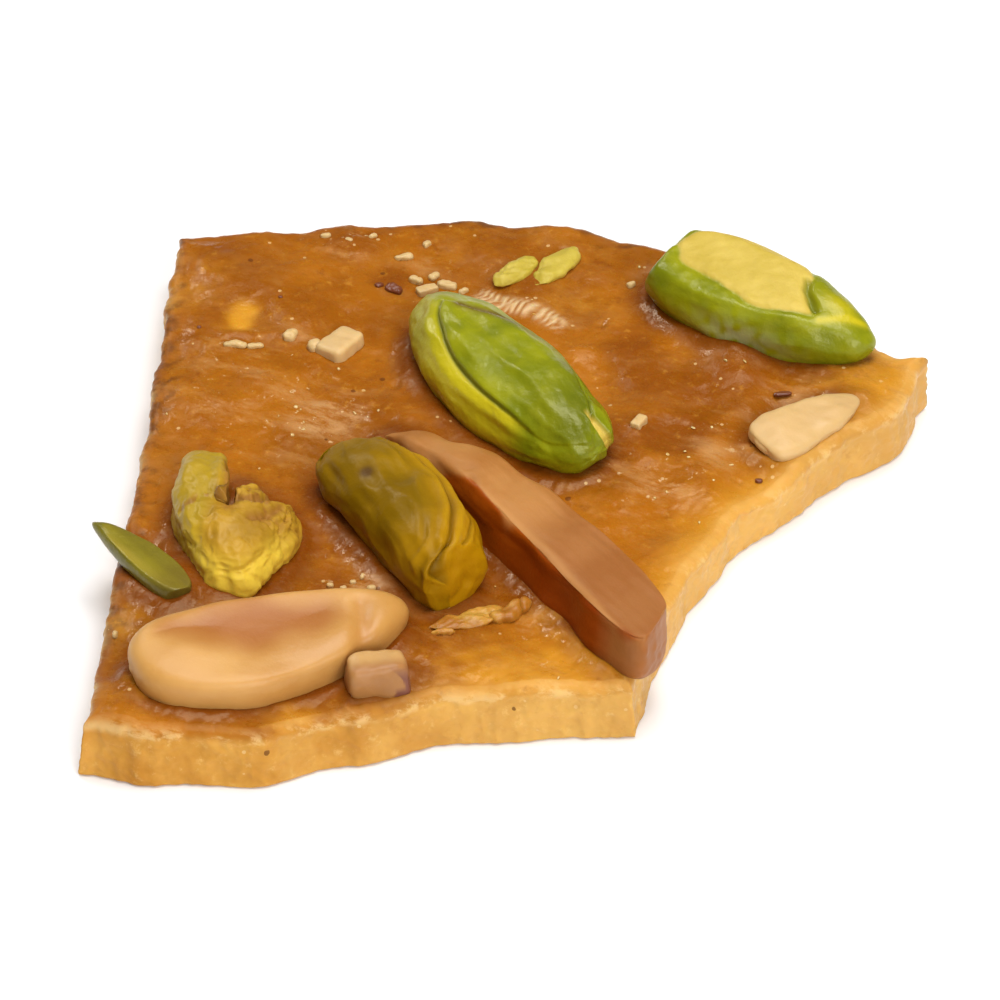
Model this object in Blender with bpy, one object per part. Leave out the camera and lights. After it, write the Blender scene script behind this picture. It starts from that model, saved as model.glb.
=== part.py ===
"""A hand-broken shard of sohan: a thin sheet of saffron toffee with nuts pressed into its top.

Blender script in metres, +Z up. The shard lies flat, as it rests on a table: +X points to the right and +Y
away from someone who looks at it. The origin is on the table under the middle of the shard's box. Sizes below
are in millimetres.
"""

import math

import bmesh
import bpy
import numpy as np

MM = 0.001  # metres in a millimetre
GAP = 0.3  # left between each nut and the pocket that it sits in

# The sheet of toffee
WIDTH = 45.4
DEPTH = 44.6
THICKNESS = 3.4
SHOULDER = 0.75  # how far in from the broken rim the top starts to round over
SHOULDER_DROP = 0.6
FOOT = 0.35  # radius of the lower edge
CAP_CELLS = 32  # quads along each side of the top
RIM_ROWS = 6
UNDERSIDE_RINGS = 3

# The four broken edges in plan, each from one corner to the next through its bends
NEAR_LEFT = (-22.7, -21.3)
NEAR_RIGHT = (6.5, -18.2)
FAR_RIGHT = (22.6, 9.9)
FAR_LEFT = (-18.3, 20.9)
NEAR_EDGE = [NEAR_LEFT, (-17.8, -22.3), (-11.8, -22.0), (-4.6, -19.3), (1.2, -18.6), NEAR_RIGHT]
RIGHT_EDGE = [NEAR_RIGHT, (7.7, -13.2), (9.8, -7.2), (11.7, -3.8), (14.7, -0.6), (18.1, 3.0), (20.7, 5.2)]
RIGHT_EDGE += [FAR_RIGHT]
FAR_EDGE = [FAR_LEFT, (-11.1, 21.5), (-4.6, 22.4), (2.6, 21.9), (8.2, 20.2), (14.5, 15.4), (20.2, 10.6)]
FAR_EDGE += [FAR_RIGHT]
LEFT_EDGE = [NEAR_LEFT, (-21.7, -13.8), (-20.6, -4.8), (-19.2, 9.2), FAR_LEFT]

# The nuts: size along, across and up before they are cut, middle, and turn in degrees (roll, pitch, heading)
SPLIT_SIZE, SPLIT_AT, SPLIT_TURN = (16.4, 7.4, 6.0), (-0.1, 6.3, 4.9), (12, 0, -54)
CORNER_SIZE, CORNER_AT, CORNER_TURN = (14.6, 7.2, 6.6), (13.4, 12.8, 4.9), (6, 3, -31)
OLIVE_SIZE, OLIVE_AT, OLIVE_TURN = (13.6, 6.4, 4.9), (-6.3, -5.8, 4.8), (0, 0, -61)
BROKEN_SIZE, BROKEN_AT, BROKEN_TURN = (7.2, 10.2, 4.2), (-14.7, -5.6, 4.2), (0, 0, 0)
SLIVER_SIZE, SLIVER_AT, SLIVER_TURN = (8.0, 1.7, 1.7), (-19.8, -8.1, 3.9), (20, 0, -51)
HALF_SIZE, HALF_AT, HALF_TURN = (15.4, 7.6, 6.2), (-12.7, -15.4, 4.4), (8, 0, 18)
CHIP_SIZE, CHIP_AT, CHIP_TURN = (3.8, 2.3, 3.0), (-6.8, -17.9, 3.9), (0, 0, 12)
STICK_SIZE, STICK_AT, STICK_TURN = (25.0, 3.3, 5.8), (0.4, -7.1, 4.1), (-6, -4, -54)
SLICE_SIZE, SLICE_AT, SLICE_TURN = (7.1, 3.9, 1.5), (16.1, 3.8, 3.7), (8, 0, 38)

# Crumbs fused to the top: size along, across and up, place of the middle, heading in degrees, and sides
CRUMBS = [
    ((3.6, 2.2, 0.9), (0.2, 16.9), 28, 7),
    ((4.0, 2.4, 0.9), (3.0, 17.3), 50, 7),
    ((2.9, 2.5, 1.7), (-9.3, 10.6), 52, 4),
    ((5.6, 1.7, 1.3), (-1.6, -12.6), 26, 7),
    ((2.2, 1.3, 1.2), (-4.1, 16.0), 15, 5),
    ((1.5, 1.2, 1.3), (-5.8, 15.4), -30, 5),
    ((1.9, 1.1, 0.9), (-7.2, 17.6), 10, 5),
    ((2.6, 2.0, 0.8), (3.7, 10.4), -40, 6),
]


# ---------------------------------------------------------------- shapes


def ripple(x, y, wavelength, height, seed):
    """A smooth uneven field: plane waves of about one wavelength, added together in seeded directions."""
    waves = 14
    draw = np.random.default_rng(seed)
    turn = draw.uniform(0, 2 * np.pi, waves)
    phase = draw.uniform(0, 2 * np.pi, waves)
    number = 2 * np.pi / (wavelength * draw.uniform(0.75, 1.35, waves))
    along = np.multiply.outer(x, np.cos(turn)) + np.multiply.outer(y, np.sin(turn))
    return height * np.cos(along * number + phase).sum(-1) / math.sqrt(waves / 2)


def evenly(points, count):
    """count points at even distances along a line through the given ones."""
    points = np.asarray(points, float)
    run = np.concatenate([[0], np.cumsum(np.linalg.norm(np.diff(points, axis=0), axis=1))])
    wanted = np.linspace(0, run[-1], count)
    return np.stack([np.interp(wanted, run, column) for column in points.T], 1)


def smooth_edge(bends, count):
    """A Catmull-Rom curve through the bends of one edge, at count even distances."""
    bends = np.asarray(bends, float)
    ends = np.concatenate([[2 * bends[0] - bends[1]], bends, [2 * bends[-1] - bends[-2]]])
    share = np.linspace(0, 1, 24, endpoint=False)[:, None]
    spans = []
    for a, b, c, d in zip(ends, ends[1:], ends[2:], ends[3:]):
        cubic = (3 * b - 3 * c + d - a) * share**3 + (2 * a - 5 * b + 4 * c - d) * share**2
        spans.append(0.5 * (cubic + (c - a) * share + 2 * b))
    return evenly(np.concatenate([*spans, bends[-1:]]), count)


def signed_power(value, power):
    """A power that keeps the sign of what it raises."""
    return np.sign(value) * np.abs(value) ** power


def kernel(size, rows=15, columns=16, blunt=(2.3, 2.3), square=2.0, slim=0.2, low=0.2, bow=0.0):
    """Rings round X of an oval body: one superellipse from end to end and another across it.

    blunt has the powers of the first at the -X and the +X end, and square is the power of the second. slim
    and low take a share off the width and the height of the +X end, and bow bends the body sideways."""
    length, width, height = size
    x = -np.cos(np.linspace(0, np.pi, rows))[:, None]
    turn = np.linspace(0, 2 * np.pi, columns, endpoint=False)[None, :]
    power = np.where(x < 0, *blunt)
    radius = (1 - np.abs(x) ** power).clip(0) ** (1 / power)
    across = radius * (1 - slim * (x + 1) / 2) * signed_power(np.cos(turn), 2 / square) * width / 2
    up = radius * (1 - low * (x + 1) / 2) * signed_power(np.sin(turn), 2 / square) * height / 2
    return np.stack([x * length / 2 + 0 * turn, across + bow * (1 - x**2), up], -1)


def lump(size, reach, rows=9, columns=18, square=2.6):
    """Rings round Z of a chunk, from its lowest point up. reach gives its outline as a share by angle."""
    width, depth, height = size
    climb = np.linspace(-np.pi / 2, np.pi / 2, rows)[:, None]
    turn = np.linspace(0, 2 * np.pi, columns, endpoint=False)[None, :]
    out = np.cos(climb).clip(0) ** (2 / square) * reach(turn)
    out[[0, -1]] = 0
    up = signed_power(np.sin(climb), 2 / square) * height / 2 + 0 * turn
    return np.stack([out * np.cos(turn) * width / 2, out * np.sin(turn) * depth / 2, up], -1)


def polygon(sides, start=0.0):
    """The outline of a regular polygon as a share by angle, with its corners rounded off a little."""

    def reach(turn):
        wedge = 2 * np.pi / sides
        off_middle = np.mod(turn - start, wedge) - wedge / 2
        return np.minimum(math.cos(wedge / 2) / np.cos(off_middle), 0.97)

    return reach


def shave(points, normal, distance, soft=0.2):
    """Brings what lies past a plane back on to it, with an edge that is rounded over about soft."""
    normal = np.asarray(normal, float) / np.linalg.norm(normal)
    past = (points @ normal - distance) / soft
    return points - soft * np.logaddexp(0, past)[..., None] * normal


def skin(rings):
    """Vertices and faces of a closed skin over rings of points. The first and last rings are one point each."""
    rows, columns, _ = rings.shape
    vertices = np.concatenate([rings[0, :1], rings[1:-1].reshape(-1, 3), rings[-1, :1]])
    inner = np.arange(1, 1 + (rows - 2) * columns).reshape(rows - 2, columns)
    ahead = np.roll(inner, -1, 1)
    faces = [(0, b, a) for a, b in zip(inner[0], ahead[0])]
    for low, low_ahead, high, high_ahead in zip(inner, ahead, inner[1:], ahead[1:]):
        faces += list(zip(low, low_ahead, high_ahead, high))
    faces += [(a, b, len(vertices) - 1) for a, b in zip(inner[-1], ahead[-1])]
    return vertices, [tuple(int(k) for k in face) for face in faces]


def add_piece(name, vertices, faces, material, at=(0, 0, 0), turn=(0, 0, 0)):
    """An object from millimetre vertices: triangles that point outwards, smooth up to the sharp edges."""
    mesh = bpy.data.meshes.new(name)
    mesh.from_pydata((np.asarray(vertices) * MM).tolist(), [], faces)
    shell = bmesh.new()
    shell.from_mesh(mesh)
    bmesh.ops.triangulate(shell, faces=shell.faces)
    bmesh.ops.recalc_face_normals(shell, faces=shell.faces)
    shell.to_mesh(mesh)
    shell.free()
    mesh.shade_smooth()
    mesh.set_sharp_from_angle(angle=math.radians(50))
    mesh.materials.append(material)
    piece = bpy.data.objects.new(name, mesh)
    piece.location = [value * MM for value in at]
    piece.rotation_euler = [math.radians(angle) for angle in turn]
    bpy.context.scene.collection.objects.link(piece)
    return piece


def new_material(name, colour, roughness):
    """A Principled material without metal."""
    material = bpy.data.materials.new(name)
    material.use_nodes = True
    shader = material.node_tree.nodes["Principled BSDF"]
    shader.inputs["Base Color"].default_value = (*colour, 1)
    shader.inputs["Roughness"].default_value = roughness
    shader.inputs["Metallic"].default_value = 0
    return material


# ---------------------------------------------------------------- the toffee


def outline():
    """The broken outline in plan, roughened, round from the near left corner against the clock."""
    edges = (NEAR_EDGE, RIGHT_EDGE, FAR_EDGE, LEFT_EDGE)
    near, right, far, left = (smooth_edge(edge, CAP_CELLS + 1) for edge in edges)
    loop = np.concatenate([near[:-1], right[:-1], far[:0:-1], left[:0:-1]])
    wander = ripple(*loop.T, 7.0, 0.14, 11) + ripple(*loop.T, 3.0, 0.05, 12)
    return loop + outward(loop) * wander[:, None]


def outward(loop):
    """The outward direction at each point of a loop, softened over its neighbours."""
    along = np.roll(loop, -1, 0) - np.roll(loop, 1, 0)
    side = np.stack([along[:, 1], -along[:, 0]], 1)
    for _ in range(3):
        side = side / np.linalg.norm(side, axis=1)[:, None]
        side = side + 0.5 * (np.roll(side, 1, 0) + np.roll(side, -1, 0))
    return side / np.linalg.norm(side, axis=1)[:, None]


def patch(loop):
    """A Coons patch: the grid of plan points spread between the loop's near, right, far and left sides."""
    n = CAP_CELLS
    closed = np.concatenate([loop, loop[:1]])
    near, right = closed[: n + 1], closed[n : 2 * n + 1]
    far, left = closed[2 * n : 3 * n + 1][::-1], closed[3 * n :][::-1]
    u = np.linspace(0, 1, n + 1)[:, None, None]
    v = np.linspace(0, 1, n + 1)[None, :, None]
    corners = (1 - u) * ((1 - v) * near[0] + v * far[0]) + u * ((1 - v) * near[-1] + v * far[-1])
    return (1 - v) * near[:, None] + v * far[:, None] + (1 - u) * left[None] + u * right[None] - corners


def top_height(x, y):
    """Height of the poured top: thick at the right corner and thin along the hollow edge, in slow waves."""
    corner = 0.40 * np.exp(-((x - 20.4) ** 2 + (y - 7.2) ** 2) / 90)
    hollow = -0.30 * np.exp(-((x - 10.4) ** 2 + (y + 3.8) ** 2) / 60)
    fold_line = 10.7 + 0.8 * np.sin((x + 18.6) / 3.5)
    fold = 0.30 * np.exp(-(((x + 14.6) / 8) ** 2)) / (1 + np.exp((fold_line - y) / 0.5))
    return THICKNESS + corner + hollow + fold + ripple(x, y, 11.0, 0.15, 21) + ripple(x, y, 5.0, 0.09, 22)


def fitted(vertices):
    """The sheet's vertices, fitted in plan to WIDTH by DEPTH round the origin."""
    low, high = vertices[:, :2].min(0), vertices[:, :2].max(0)
    plan = (vertices[:, :2] - (low + high) / 2) * np.array([WIDTH, DEPTH]) / (high - low)
    return np.column_stack([plan, vertices[:, 2]])


def rim_section():
    """The rim from the top to the underside: how far in from the face, and the share of the thickness."""
    quarter = np.linspace(0, np.pi / 2, 12)
    shoulder = [SHOULDER * (np.sin(quarter) - 1), THICKNESS - SHOULDER_DROP * (1 - np.cos(quarter))]
    foot = [FOOT * (np.cos(quarter) - 1), FOOT * (1 - np.sin(quarter))]
    section = evenly(np.concatenate([shoulder, foot], 1).T, RIM_ROWS + 1)
    return section / [1, THICKNESS]


def face_lean(loop):
    """How far the foot stands out past the top: out along the near edge, and under along the hollow one."""
    near = np.exp(-(((loop[:, 1] + 21.8) / 6) ** 2))
    hollow = np.exp(-(((loop[:, 0] - 14.4) / 7) ** 2) - ((loop[:, 1] - 0.2) / 8) ** 2)
    return 0.45 * near - 0.2 * hollow


def toffee_sheet(material):
    """The sheet: its waved top, a broken rim with a rounded shoulder, and a flat underside."""
    n = CAP_CELLS
    loop = outline()
    away, lean = outward(loop), face_lean(loop)
    plan = patch(loop - away * (SHOULDER + lean.clip(0))[:, None])
    top = np.dstack([plan, top_height(plan[..., 0], plan[..., 1])])
    numbers = np.arange((n + 1) ** 2).reshape(n + 1, n + 1)
    border = np.concatenate([numbers[:-1, 0], numbers[-1, :-1], numbers[:0:-1, -1], numbers[0, :0:-1]])
    edge = top.reshape(-1, 3)[border]

    levels = [edge]
    for step, level in rim_section()[1:]:
        shift = step - lean.clip(0) * level + lean.clip(None, 0) * (1 - level)
        chips = np.abs(ripple(loop[:, 0], loop[:, 1] + 8 * level, 3.4, 0.2, 31)) * math.sin(math.pi * level)
        levels.append(np.column_stack([loop + away * (shift - chips)[:, None], edge[:, 2] * level]))
    foot = levels[-1]
    middle = np.array([*loop.mean(0), 0.0])
    for ring in range(1, UNDERSIDE_RINGS + 1):
        levels.append(foot + (middle - foot) * ring / (UNDERSIDE_RINGS + 1))

    around = len(loop)
    rings = [border] + [numbers.size + k * around + np.arange(around) for k in range(len(levels) - 1)]
    vertices = fitted(np.concatenate([top.reshape(-1, 3), *levels[1:], middle[None]]))
    faces = list(zip(*(numbers[i : n + i, j : n + j].ravel() for i, j in ((0, 0), (1, 0), (1, 1), (0, 1)))))
    for upper, lower in zip(rings, rings[1:]):
        faces += list(zip(upper, lower, np.roll(lower, -1), np.roll(upper, -1)))
    faces += [(a, len(vertices) - 1, b) for a, b in zip(rings[-1], np.roll(rings[-1], -1))]
    return add_piece("toffee_sheet", vertices, [tuple(int(k) for k in face) for face in faces], material)


def crumbs(material):
    """The small bits of nut and toffee that are fused to the top of the sheet."""
    made = []
    for number, (size, (x, y), heading, sides) in enumerate(CRUMBS):
        rings = lump(size, polygon(sides, 0.3), rows=5, columns=8, square=3.2)
        at = (x, y, float(top_height(np.array(x), np.array(y))) + 0.2 * size[2])
        made.append(add_piece(f"crumb_{number}", *skin(rings), material, at, (0, 0, heading)))
    return made


# ---------------------------------------------------------------- the nuts


def split_pistachio(material):
    """A whole kernel whose halves have slipped apart, rounder at its far end than at its near one."""
    rings = kernel(SPLIT_SIZE, blunt=(1.8, 2.6), slim=0.14, low=0.3, bow=-0.5)
    return add_piece("pistachio_split", *skin(rings), material, SPLIT_AT, SPLIT_TURN)


def corner_pistachio(material):
    """A kernel sliced flat along its top and blunt at its left end."""
    rings = kernel(CORNER_SIZE, columns=20, blunt=(1.9, 2.1), square=2.2, slim=0.33, low=0.38)
    rings = shave(rings, (-0.04, -0.06, 1), 1.9)
    rings = shave(rings, (-1, 0.1, 0.35), 5.6)
    return add_piece("pistachio_corner", *skin(rings), material, CORNER_AT, CORNER_TURN)


def olive_pistachio(material):
    """A kernel that bellies out to the right, with a blunt near end."""
    rings = kernel(OLIVE_SIZE, blunt=(2.2, 2.8), slim=0.2, low=-0.2, bow=0.75)
    return add_piece("pistachio_olive", *skin(rings), material, OLIVE_AT, OLIVE_TURN)


def broken_pistachio(material):
    """A broken kernel: a long finger on the left, a shorter lobe on the right and a cleft between them."""

    def reach(turn):
        cleft = 0.54 * np.exp(-(((turn - 1.72) / 0.14) ** 2))
        finger = 0.12 * np.exp(-(((turn - 2.10) / 0.25) ** 2))
        short = 0.32 * np.exp(-(((turn - 0.98) / 0.62) ** 2))
        return 1 - cleft + finger - short + 0.03 * np.cos(5 * turn)

    rings = lump(BROKEN_SIZE, reach, columns=36, square=2.8)
    return add_piece("pistachio_broken", *skin(rings), material, BROKEN_AT, BROKEN_TURN)


def sliver_pistachio(material):
    """A thin sliver with a keen tip that reaches out past the left rim."""
    rings = kernel(SLIVER_SIZE, rows=11, columns=8, blunt=(1.6, 2.8), slim=-0.5, low=-0.2, bow=0.2)
    return add_piece("pistachio_sliver", *skin(rings), material, SLIVER_AT, SLIVER_TURN)


def half_almond(material):
    """A half kernel with its flat cut face up, fuller at its left end."""
    rings = kernel(HALF_SIZE, columns=20, blunt=(2.3, 2.0), square=2.2, slim=0.33, low=0.1, bow=-0.7)
    rings = shave(rings, (0, -0.05, 1), 1.5)
    return add_piece("almond_half", *skin(rings), material, HALF_AT, HALF_TURN)


def chip_almond(material):
    """A cut chip beside the half, with flat sides."""
    rings = lump(CHIP_SIZE, polygon(4, 0.5), rows=7, columns=12, square=3.6)
    return add_piece("almond_chip", *skin(rings), material, CHIP_AT, CHIP_TURN)


def stick_almond(material):
    """A long slice on its edge, keen at its far end, with a cut top that widens towards the near one."""
    rings = kernel(STICK_SIZE, rows=17, columns=16, blunt=(1.8, 3.6), square=3.6, slim=-0.4, low=0.0, bow=0.8)
    rings = shave(rings, (0.0, 0.0, 1), 2.4)
    return add_piece("almond_stick", *skin(rings), material, STICK_AT, STICK_TURN)


def slice_almond(material):
    """A thin pale slice with straight ends, lying flat near the right corner."""
    rings = kernel(SLICE_SIZE, rows=11, columns=12, blunt=(3.8, 2.1), square=3.2, slim=0.45, low=0.2)
    return add_piece("almond_slice", *skin(rings), material, SLICE_AT, SLICE_TURN)


# ---------------------------------------------------------------- joining and cutting


def apply_boolean(piece, operation, others):
    """Joins the other pieces to this one, or cuts them from it, and removes them."""
    group = bpy.data.collections.new("boolean_group")
    for other in others:
        group.objects.link(other)
    change = piece.modifiers.new("boolean", "BOOLEAN")
    change.operation = operation
    change.operand_type = "COLLECTION"
    change.collection = group
    change.solver = "EXACT"
    evaluated = piece.evaluated_get(bpy.context.evaluated_depsgraph_get())
    result = bpy.data.meshes.new_from_object(evaluated)
    piece.modifiers.remove(change)
    old, piece.data = piece.data, result
    bpy.data.meshes.remove(old)
    for other in others:
        bpy.data.objects.remove(other)
    bpy.data.collections.remove(group)


def pocket(nut):
    """The cutter for a nut's pocket: a copy of the nut that is swollen by GAP."""
    cutter = nut.copy()
    cutter.name = f"pocket_{nut.name}"
    cutter.data = nut.data.copy()
    shell = bmesh.new()
    shell.from_mesh(cutter.data)
    shell.normal_update()
    swollen = [vertex.co + vertex.normal * vertex.calc_shell_factor() * GAP * MM for vertex in shell.verts]
    for vertex, place in zip(shell.verts, swollen):
        vertex.co = place
    shell.to_mesh(cutter.data)
    shell.free()
    bpy.context.scene.collection.objects.link(cutter)
    return cutter


def build():
    """The whole shard."""
    for old in list(bpy.data.objects):
        bpy.data.objects.remove(old)
    toffee = new_material("toffee", (0.40, 0.13, 0.018), 0.25)
    green = new_material("pistachio", (0.25, 0.24, 0.02), 0.35)
    olive = new_material("pistachio_syruped", (0.24, 0.13, 0.008), 0.3)
    cream = new_material("almond", (0.72, 0.42, 0.14), 0.45)
    roasted = new_material("almond_roasted", (0.40, 0.14, 0.035), 0.45)

    sheet = toffee_sheet(toffee)
    apply_boolean(sheet, "UNION", crumbs(toffee))
    nuts = [split_pistachio(green), corner_pistachio(green), olive_pistachio(olive), broken_pistachio(green)]
    nuts += [sliver_pistachio(green), half_almond(cream), chip_almond(cream), stick_almond(roasted)]
    nuts += [slice_almond(cream)]
    bpy.context.view_layer.update()
    apply_boolean(sheet, "DIFFERENCE", [pocket(nut) for nut in nuts])


build()
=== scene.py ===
"""The looks of a hand-broken shard of sohan: saffron toffee with pistachio and almond pressed into its top.

Shapes are worked out in millimetres with numpy and written to their meshes in metres. +X is to the right,
+Y away from the camera and +Z up, and the origin is on the table under the middle of the shard. Every uneven
field has a seed of its own, so each run makes the same shard. A mask is a number at each vertex of a mesh,
which the mesh's material reads by its name.
"""

import math

import bpy
import numpy as np
from mathutils import Euler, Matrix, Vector


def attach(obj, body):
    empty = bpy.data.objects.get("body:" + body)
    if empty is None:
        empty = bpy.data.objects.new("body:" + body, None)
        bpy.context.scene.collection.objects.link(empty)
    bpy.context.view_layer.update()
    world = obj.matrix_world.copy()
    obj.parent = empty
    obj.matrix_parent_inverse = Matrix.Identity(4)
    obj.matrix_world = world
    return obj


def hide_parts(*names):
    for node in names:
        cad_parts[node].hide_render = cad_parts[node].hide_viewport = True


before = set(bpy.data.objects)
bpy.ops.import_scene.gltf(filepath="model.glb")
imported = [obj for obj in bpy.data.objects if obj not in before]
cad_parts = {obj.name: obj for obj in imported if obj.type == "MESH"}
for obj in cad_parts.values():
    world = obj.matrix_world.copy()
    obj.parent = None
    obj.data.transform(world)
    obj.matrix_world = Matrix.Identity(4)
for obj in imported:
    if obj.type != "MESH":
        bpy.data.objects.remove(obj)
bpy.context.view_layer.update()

MM = 0.001

# ---------------------------------------------------------------- sizes, as the CAD has them, in millimetres

WIDTH = 45.4
DEPTH = 44.6
THICKNESS = 3.4
SHOULDER = 0.75
SHOULDER_DROP = 0.6
FOOT = 0.35
CAD_CELLS = 32

NEAR_LEFT = (-22.7, -21.3)
NEAR_RIGHT = (6.5, -18.2)
FAR_RIGHT = (22.6, 9.9)
FAR_LEFT = (-18.3, 20.9)
NEAR_EDGE = [NEAR_LEFT, (-17.8, -22.3), (-11.8, -22.0), (-4.6, -19.3), (1.2, -18.6), NEAR_RIGHT]
RIGHT_EDGE = [NEAR_RIGHT, (7.7, -13.2), (9.8, -7.2), (11.7, -3.8), (14.7, -0.6), (18.1, 3.0), (20.7, 5.2)]
RIGHT_EDGE += [FAR_RIGHT]
FAR_EDGE = [FAR_LEFT, (-11.1, 21.5), (-4.6, 22.4), (2.6, 21.9), (8.2, 20.2), (14.5, 15.4), (20.2, 10.6)]
FAR_EDGE += [FAR_RIGHT]
LEFT_EDGE = [NEAR_LEFT, (-21.7, -13.8), (-20.6, -4.8), (-19.2, 9.2), FAR_LEFT]

SPLIT_SIZE, SPLIT_AT, SPLIT_TURN = (16.4, 7.4, 6.0), (-0.1, 6.3, 4.9), (12, 0, -54)
CORNER_SIZE, CORNER_AT, CORNER_TURN = (14.6, 7.2, 6.6), (13.4, 12.8, 4.9), (6, 3, -31)
OLIVE_SIZE, OLIVE_AT, OLIVE_TURN = (13.6, 6.4, 4.9), (-6.3, -5.8, 4.8), (0, 0, -61)
BROKEN_SIZE, BROKEN_AT, BROKEN_TURN = (7.2, 10.2, 4.2), (-14.7, -5.6, 4.2), (0, 0, 0)
SLIVER_SIZE, SLIVER_AT, SLIVER_TURN = (8.0, 1.7, 1.7), (-19.8, -8.1, 3.9), (20, 0, -51)
HALF_SIZE, HALF_AT, HALF_TURN = (15.4, 7.6, 6.2), (-12.7, -15.4, 4.4), (8, 0, 18)
CHIP_SIZE, CHIP_AT, CHIP_TURN = (3.8, 2.3, 3.0), (-6.8, -17.9, 3.9), (0, 0, 12)
CHIP_CUT_SIZE, CHIP_CUT_SHIFT = (3.3, 2.1, 2.9), (0.25, 0, 0)  # the chip as it looks, and its shift to the left
STICK_SIZE, STICK_AT, STICK_TURN = (25.0, 3.3, 5.8), (0.4, -7.1, 4.1), (-6, -4, -54)
SLICE_SIZE, SLICE_AT, SLICE_TURN = (7.1, 3.9, 1.5), (16.1, 3.8, 3.7), (8, 0, 38)

# How each nut is shaped: see kernel()
SPLIT_FORM = dict(blunt=(1.8, 2.6), slim=0.14, low=0.3, bow=-0.5)
CORNER_FORM = dict(blunt=(1.9, 2.1), square=2.2, slim=0.33, low=0.38)
OLIVE_FORM = dict(blunt=(2.2, 2.8), slim=0.2, low=-0.2, bow=0.75)
SLIVER_FORM = dict(blunt=(1.6, 2.8), slim=-0.5, low=-0.2, bow=0.2)
HALF_FORM = dict(blunt=(2.3, 2.0), square=2.2, slim=0.33, low=0.1, bow=-0.7)
CHIP_CUT_FORM = dict(blunt=(6, 6), square=4.6, slim=0.06, low=0.1)
STICK_FORM = dict(blunt=(1.8, 3.6), square=3.6, slim=-0.4, low=0.0, bow=0.8)
SLICE_FORM = dict(blunt=(3.8, 2.1), square=3.2, slim=0.45, low=0.2)
BROKEN_SQUARE, CHIP_SQUARE = 2.8, 3.6

# ---------------------------------------------------------------- how finely the looks are made

SLAB_CELLS = 248  # quads along each side of the toffee's top
SLAB_RIM_ROWS = 34
SLAB_UNDER_RINGS = 3
KERNEL_ROWS, KERNEL_COLUMNS = 150, 180
SMALL_ROWS, SMALL_COLUMNS = 100, 120
SLIVER_ROWS, SLIVER_COLUMNS = 100, 84
CHUNK_ROWS, CHUNK_COLUMNS = 100, 180
BROKEN_COLUMNS = 280
CRUMB_ROWS, CRUMB_COLUMNS = 40, 60
GRAIN_ROWS, GRAIN_COLUMNS = 7, 10

FAR_OFF = 99.0  # more than any distance on the shard
FARTHEST_USED = 4.0  # no finish or shape uses a distance from a nut that is larger
WAVES_ADDED = 16
RIPPLES_ADDED = 14


# ---------------------------------------------------------------- fields and curves


def waves(points, wavelength, height, seed):
    """A smooth uneven field over points of two or three coordinates, of about this height.

    It adds cosine waves of about one wavelength, each in a seeded direction and phase."""
    draw = np.random.default_rng(seed)
    heading = draw.normal(size=(WAVES_ADDED, points.shape[-1]))
    heading /= np.linalg.norm(heading, axis=1)[:, None]
    phase = draw.uniform(0, 2 * np.pi, WAVES_ADDED)
    number = 2 * np.pi / (wavelength * draw.uniform(0.7, 1.4, WAVES_ADDED))
    crests = np.cos(points @ (heading * number[:, None]).T + phase)
    return height * crests.sum(-1) / math.sqrt(WAVES_ADDED / 2)


def ripple(x, y, wavelength, height, seed):
    """The CAD's own slow waves: plane waves of about one wavelength in seeded directions and phases."""
    draw = np.random.default_rng(seed)
    turn = draw.uniform(0, 2 * np.pi, RIPPLES_ADDED)
    phase = draw.uniform(0, 2 * np.pi, RIPPLES_ADDED)
    number = 2 * np.pi / (wavelength * draw.uniform(0.75, 1.35, RIPPLES_ADDED))
    along = np.multiply.outer(x, np.cos(turn)) + np.multiply.outer(y, np.sin(turn))
    return height * np.cos(along * number + phase).sum(-1) / math.sqrt(RIPPLES_ADDED / 2)


def step(value, low, high):
    """0 below low, 1 above high, and a smooth cubic between them."""
    share = np.clip((value - low) / (high - low), 0, 1)
    return share * share * (3 - 2 * share)


def bump(value, middle, width):
    """A bell of height 1 round the middle."""
    return np.exp(-(((value - middle) / width) ** 2))


def spot(x, y, at, radius):
    """A round bell of height 1 in plan."""
    return np.exp(-((x - at[0]) ** 2 + (y - at[1]) ** 2) / radius**2)


def evenly(points, count):
    """count points at even distances along a line through the given ones."""
    points = np.asarray(points, float)
    run = np.concatenate([[0], np.cumsum(np.linalg.norm(np.diff(points, axis=0), axis=1))])
    wanted = np.linspace(0, run[-1], count)
    return np.stack([np.interp(wanted, run, column) for column in points.T], 1)


def smooth_edge(bends, count):
    """A Catmull-Rom curve through the bends of one edge, at count even distances."""
    bends = np.asarray(bends, float)
    ends = np.concatenate([[2 * bends[0] - bends[1]], bends, [2 * bends[-1] - bends[-2]]])
    share = np.linspace(0, 1, 24, endpoint=False)[:, None]
    spans = []
    for a, b, c, d in zip(ends, ends[1:], ends[2:], ends[3:]):
        cubic = (3 * b - 3 * c + d - a) * share**3 + (2 * a - 5 * b + 4 * c - d) * share**2
        spans.append(0.5 * (cubic + (c - a) * share + 2 * b))
    return evenly(np.concatenate([*spans, bends[-1:]]), count)


def signed_power(value, power):
    """A power that keeps the sign of what it raises."""
    return np.sign(value) * np.abs(value) ** power


def line_distance(x, y, bends):
    """Distance in a plane from each point to a line through the bends."""
    nearest = np.full(np.shape(x), FAR_OFF)
    for (ax, ay), (bx, by) in zip(bends, bends[1:]):
        along = ((x - ax) * (bx - ax) + (y - ay) * (by - ay)) / ((bx - ax) ** 2 + (by - ay) ** 2)
        along = np.clip(along, 0, 1)
        nearest = np.minimum(nearest, np.hypot(x - ax - along * (bx - ax), y - ay - along * (by - ay)))
    return nearest


def crease(x, y, bends, width):
    """A bell of height 1 across a line through the bends."""
    return bump(line_distance(x, y, bends), 0, width)


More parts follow.
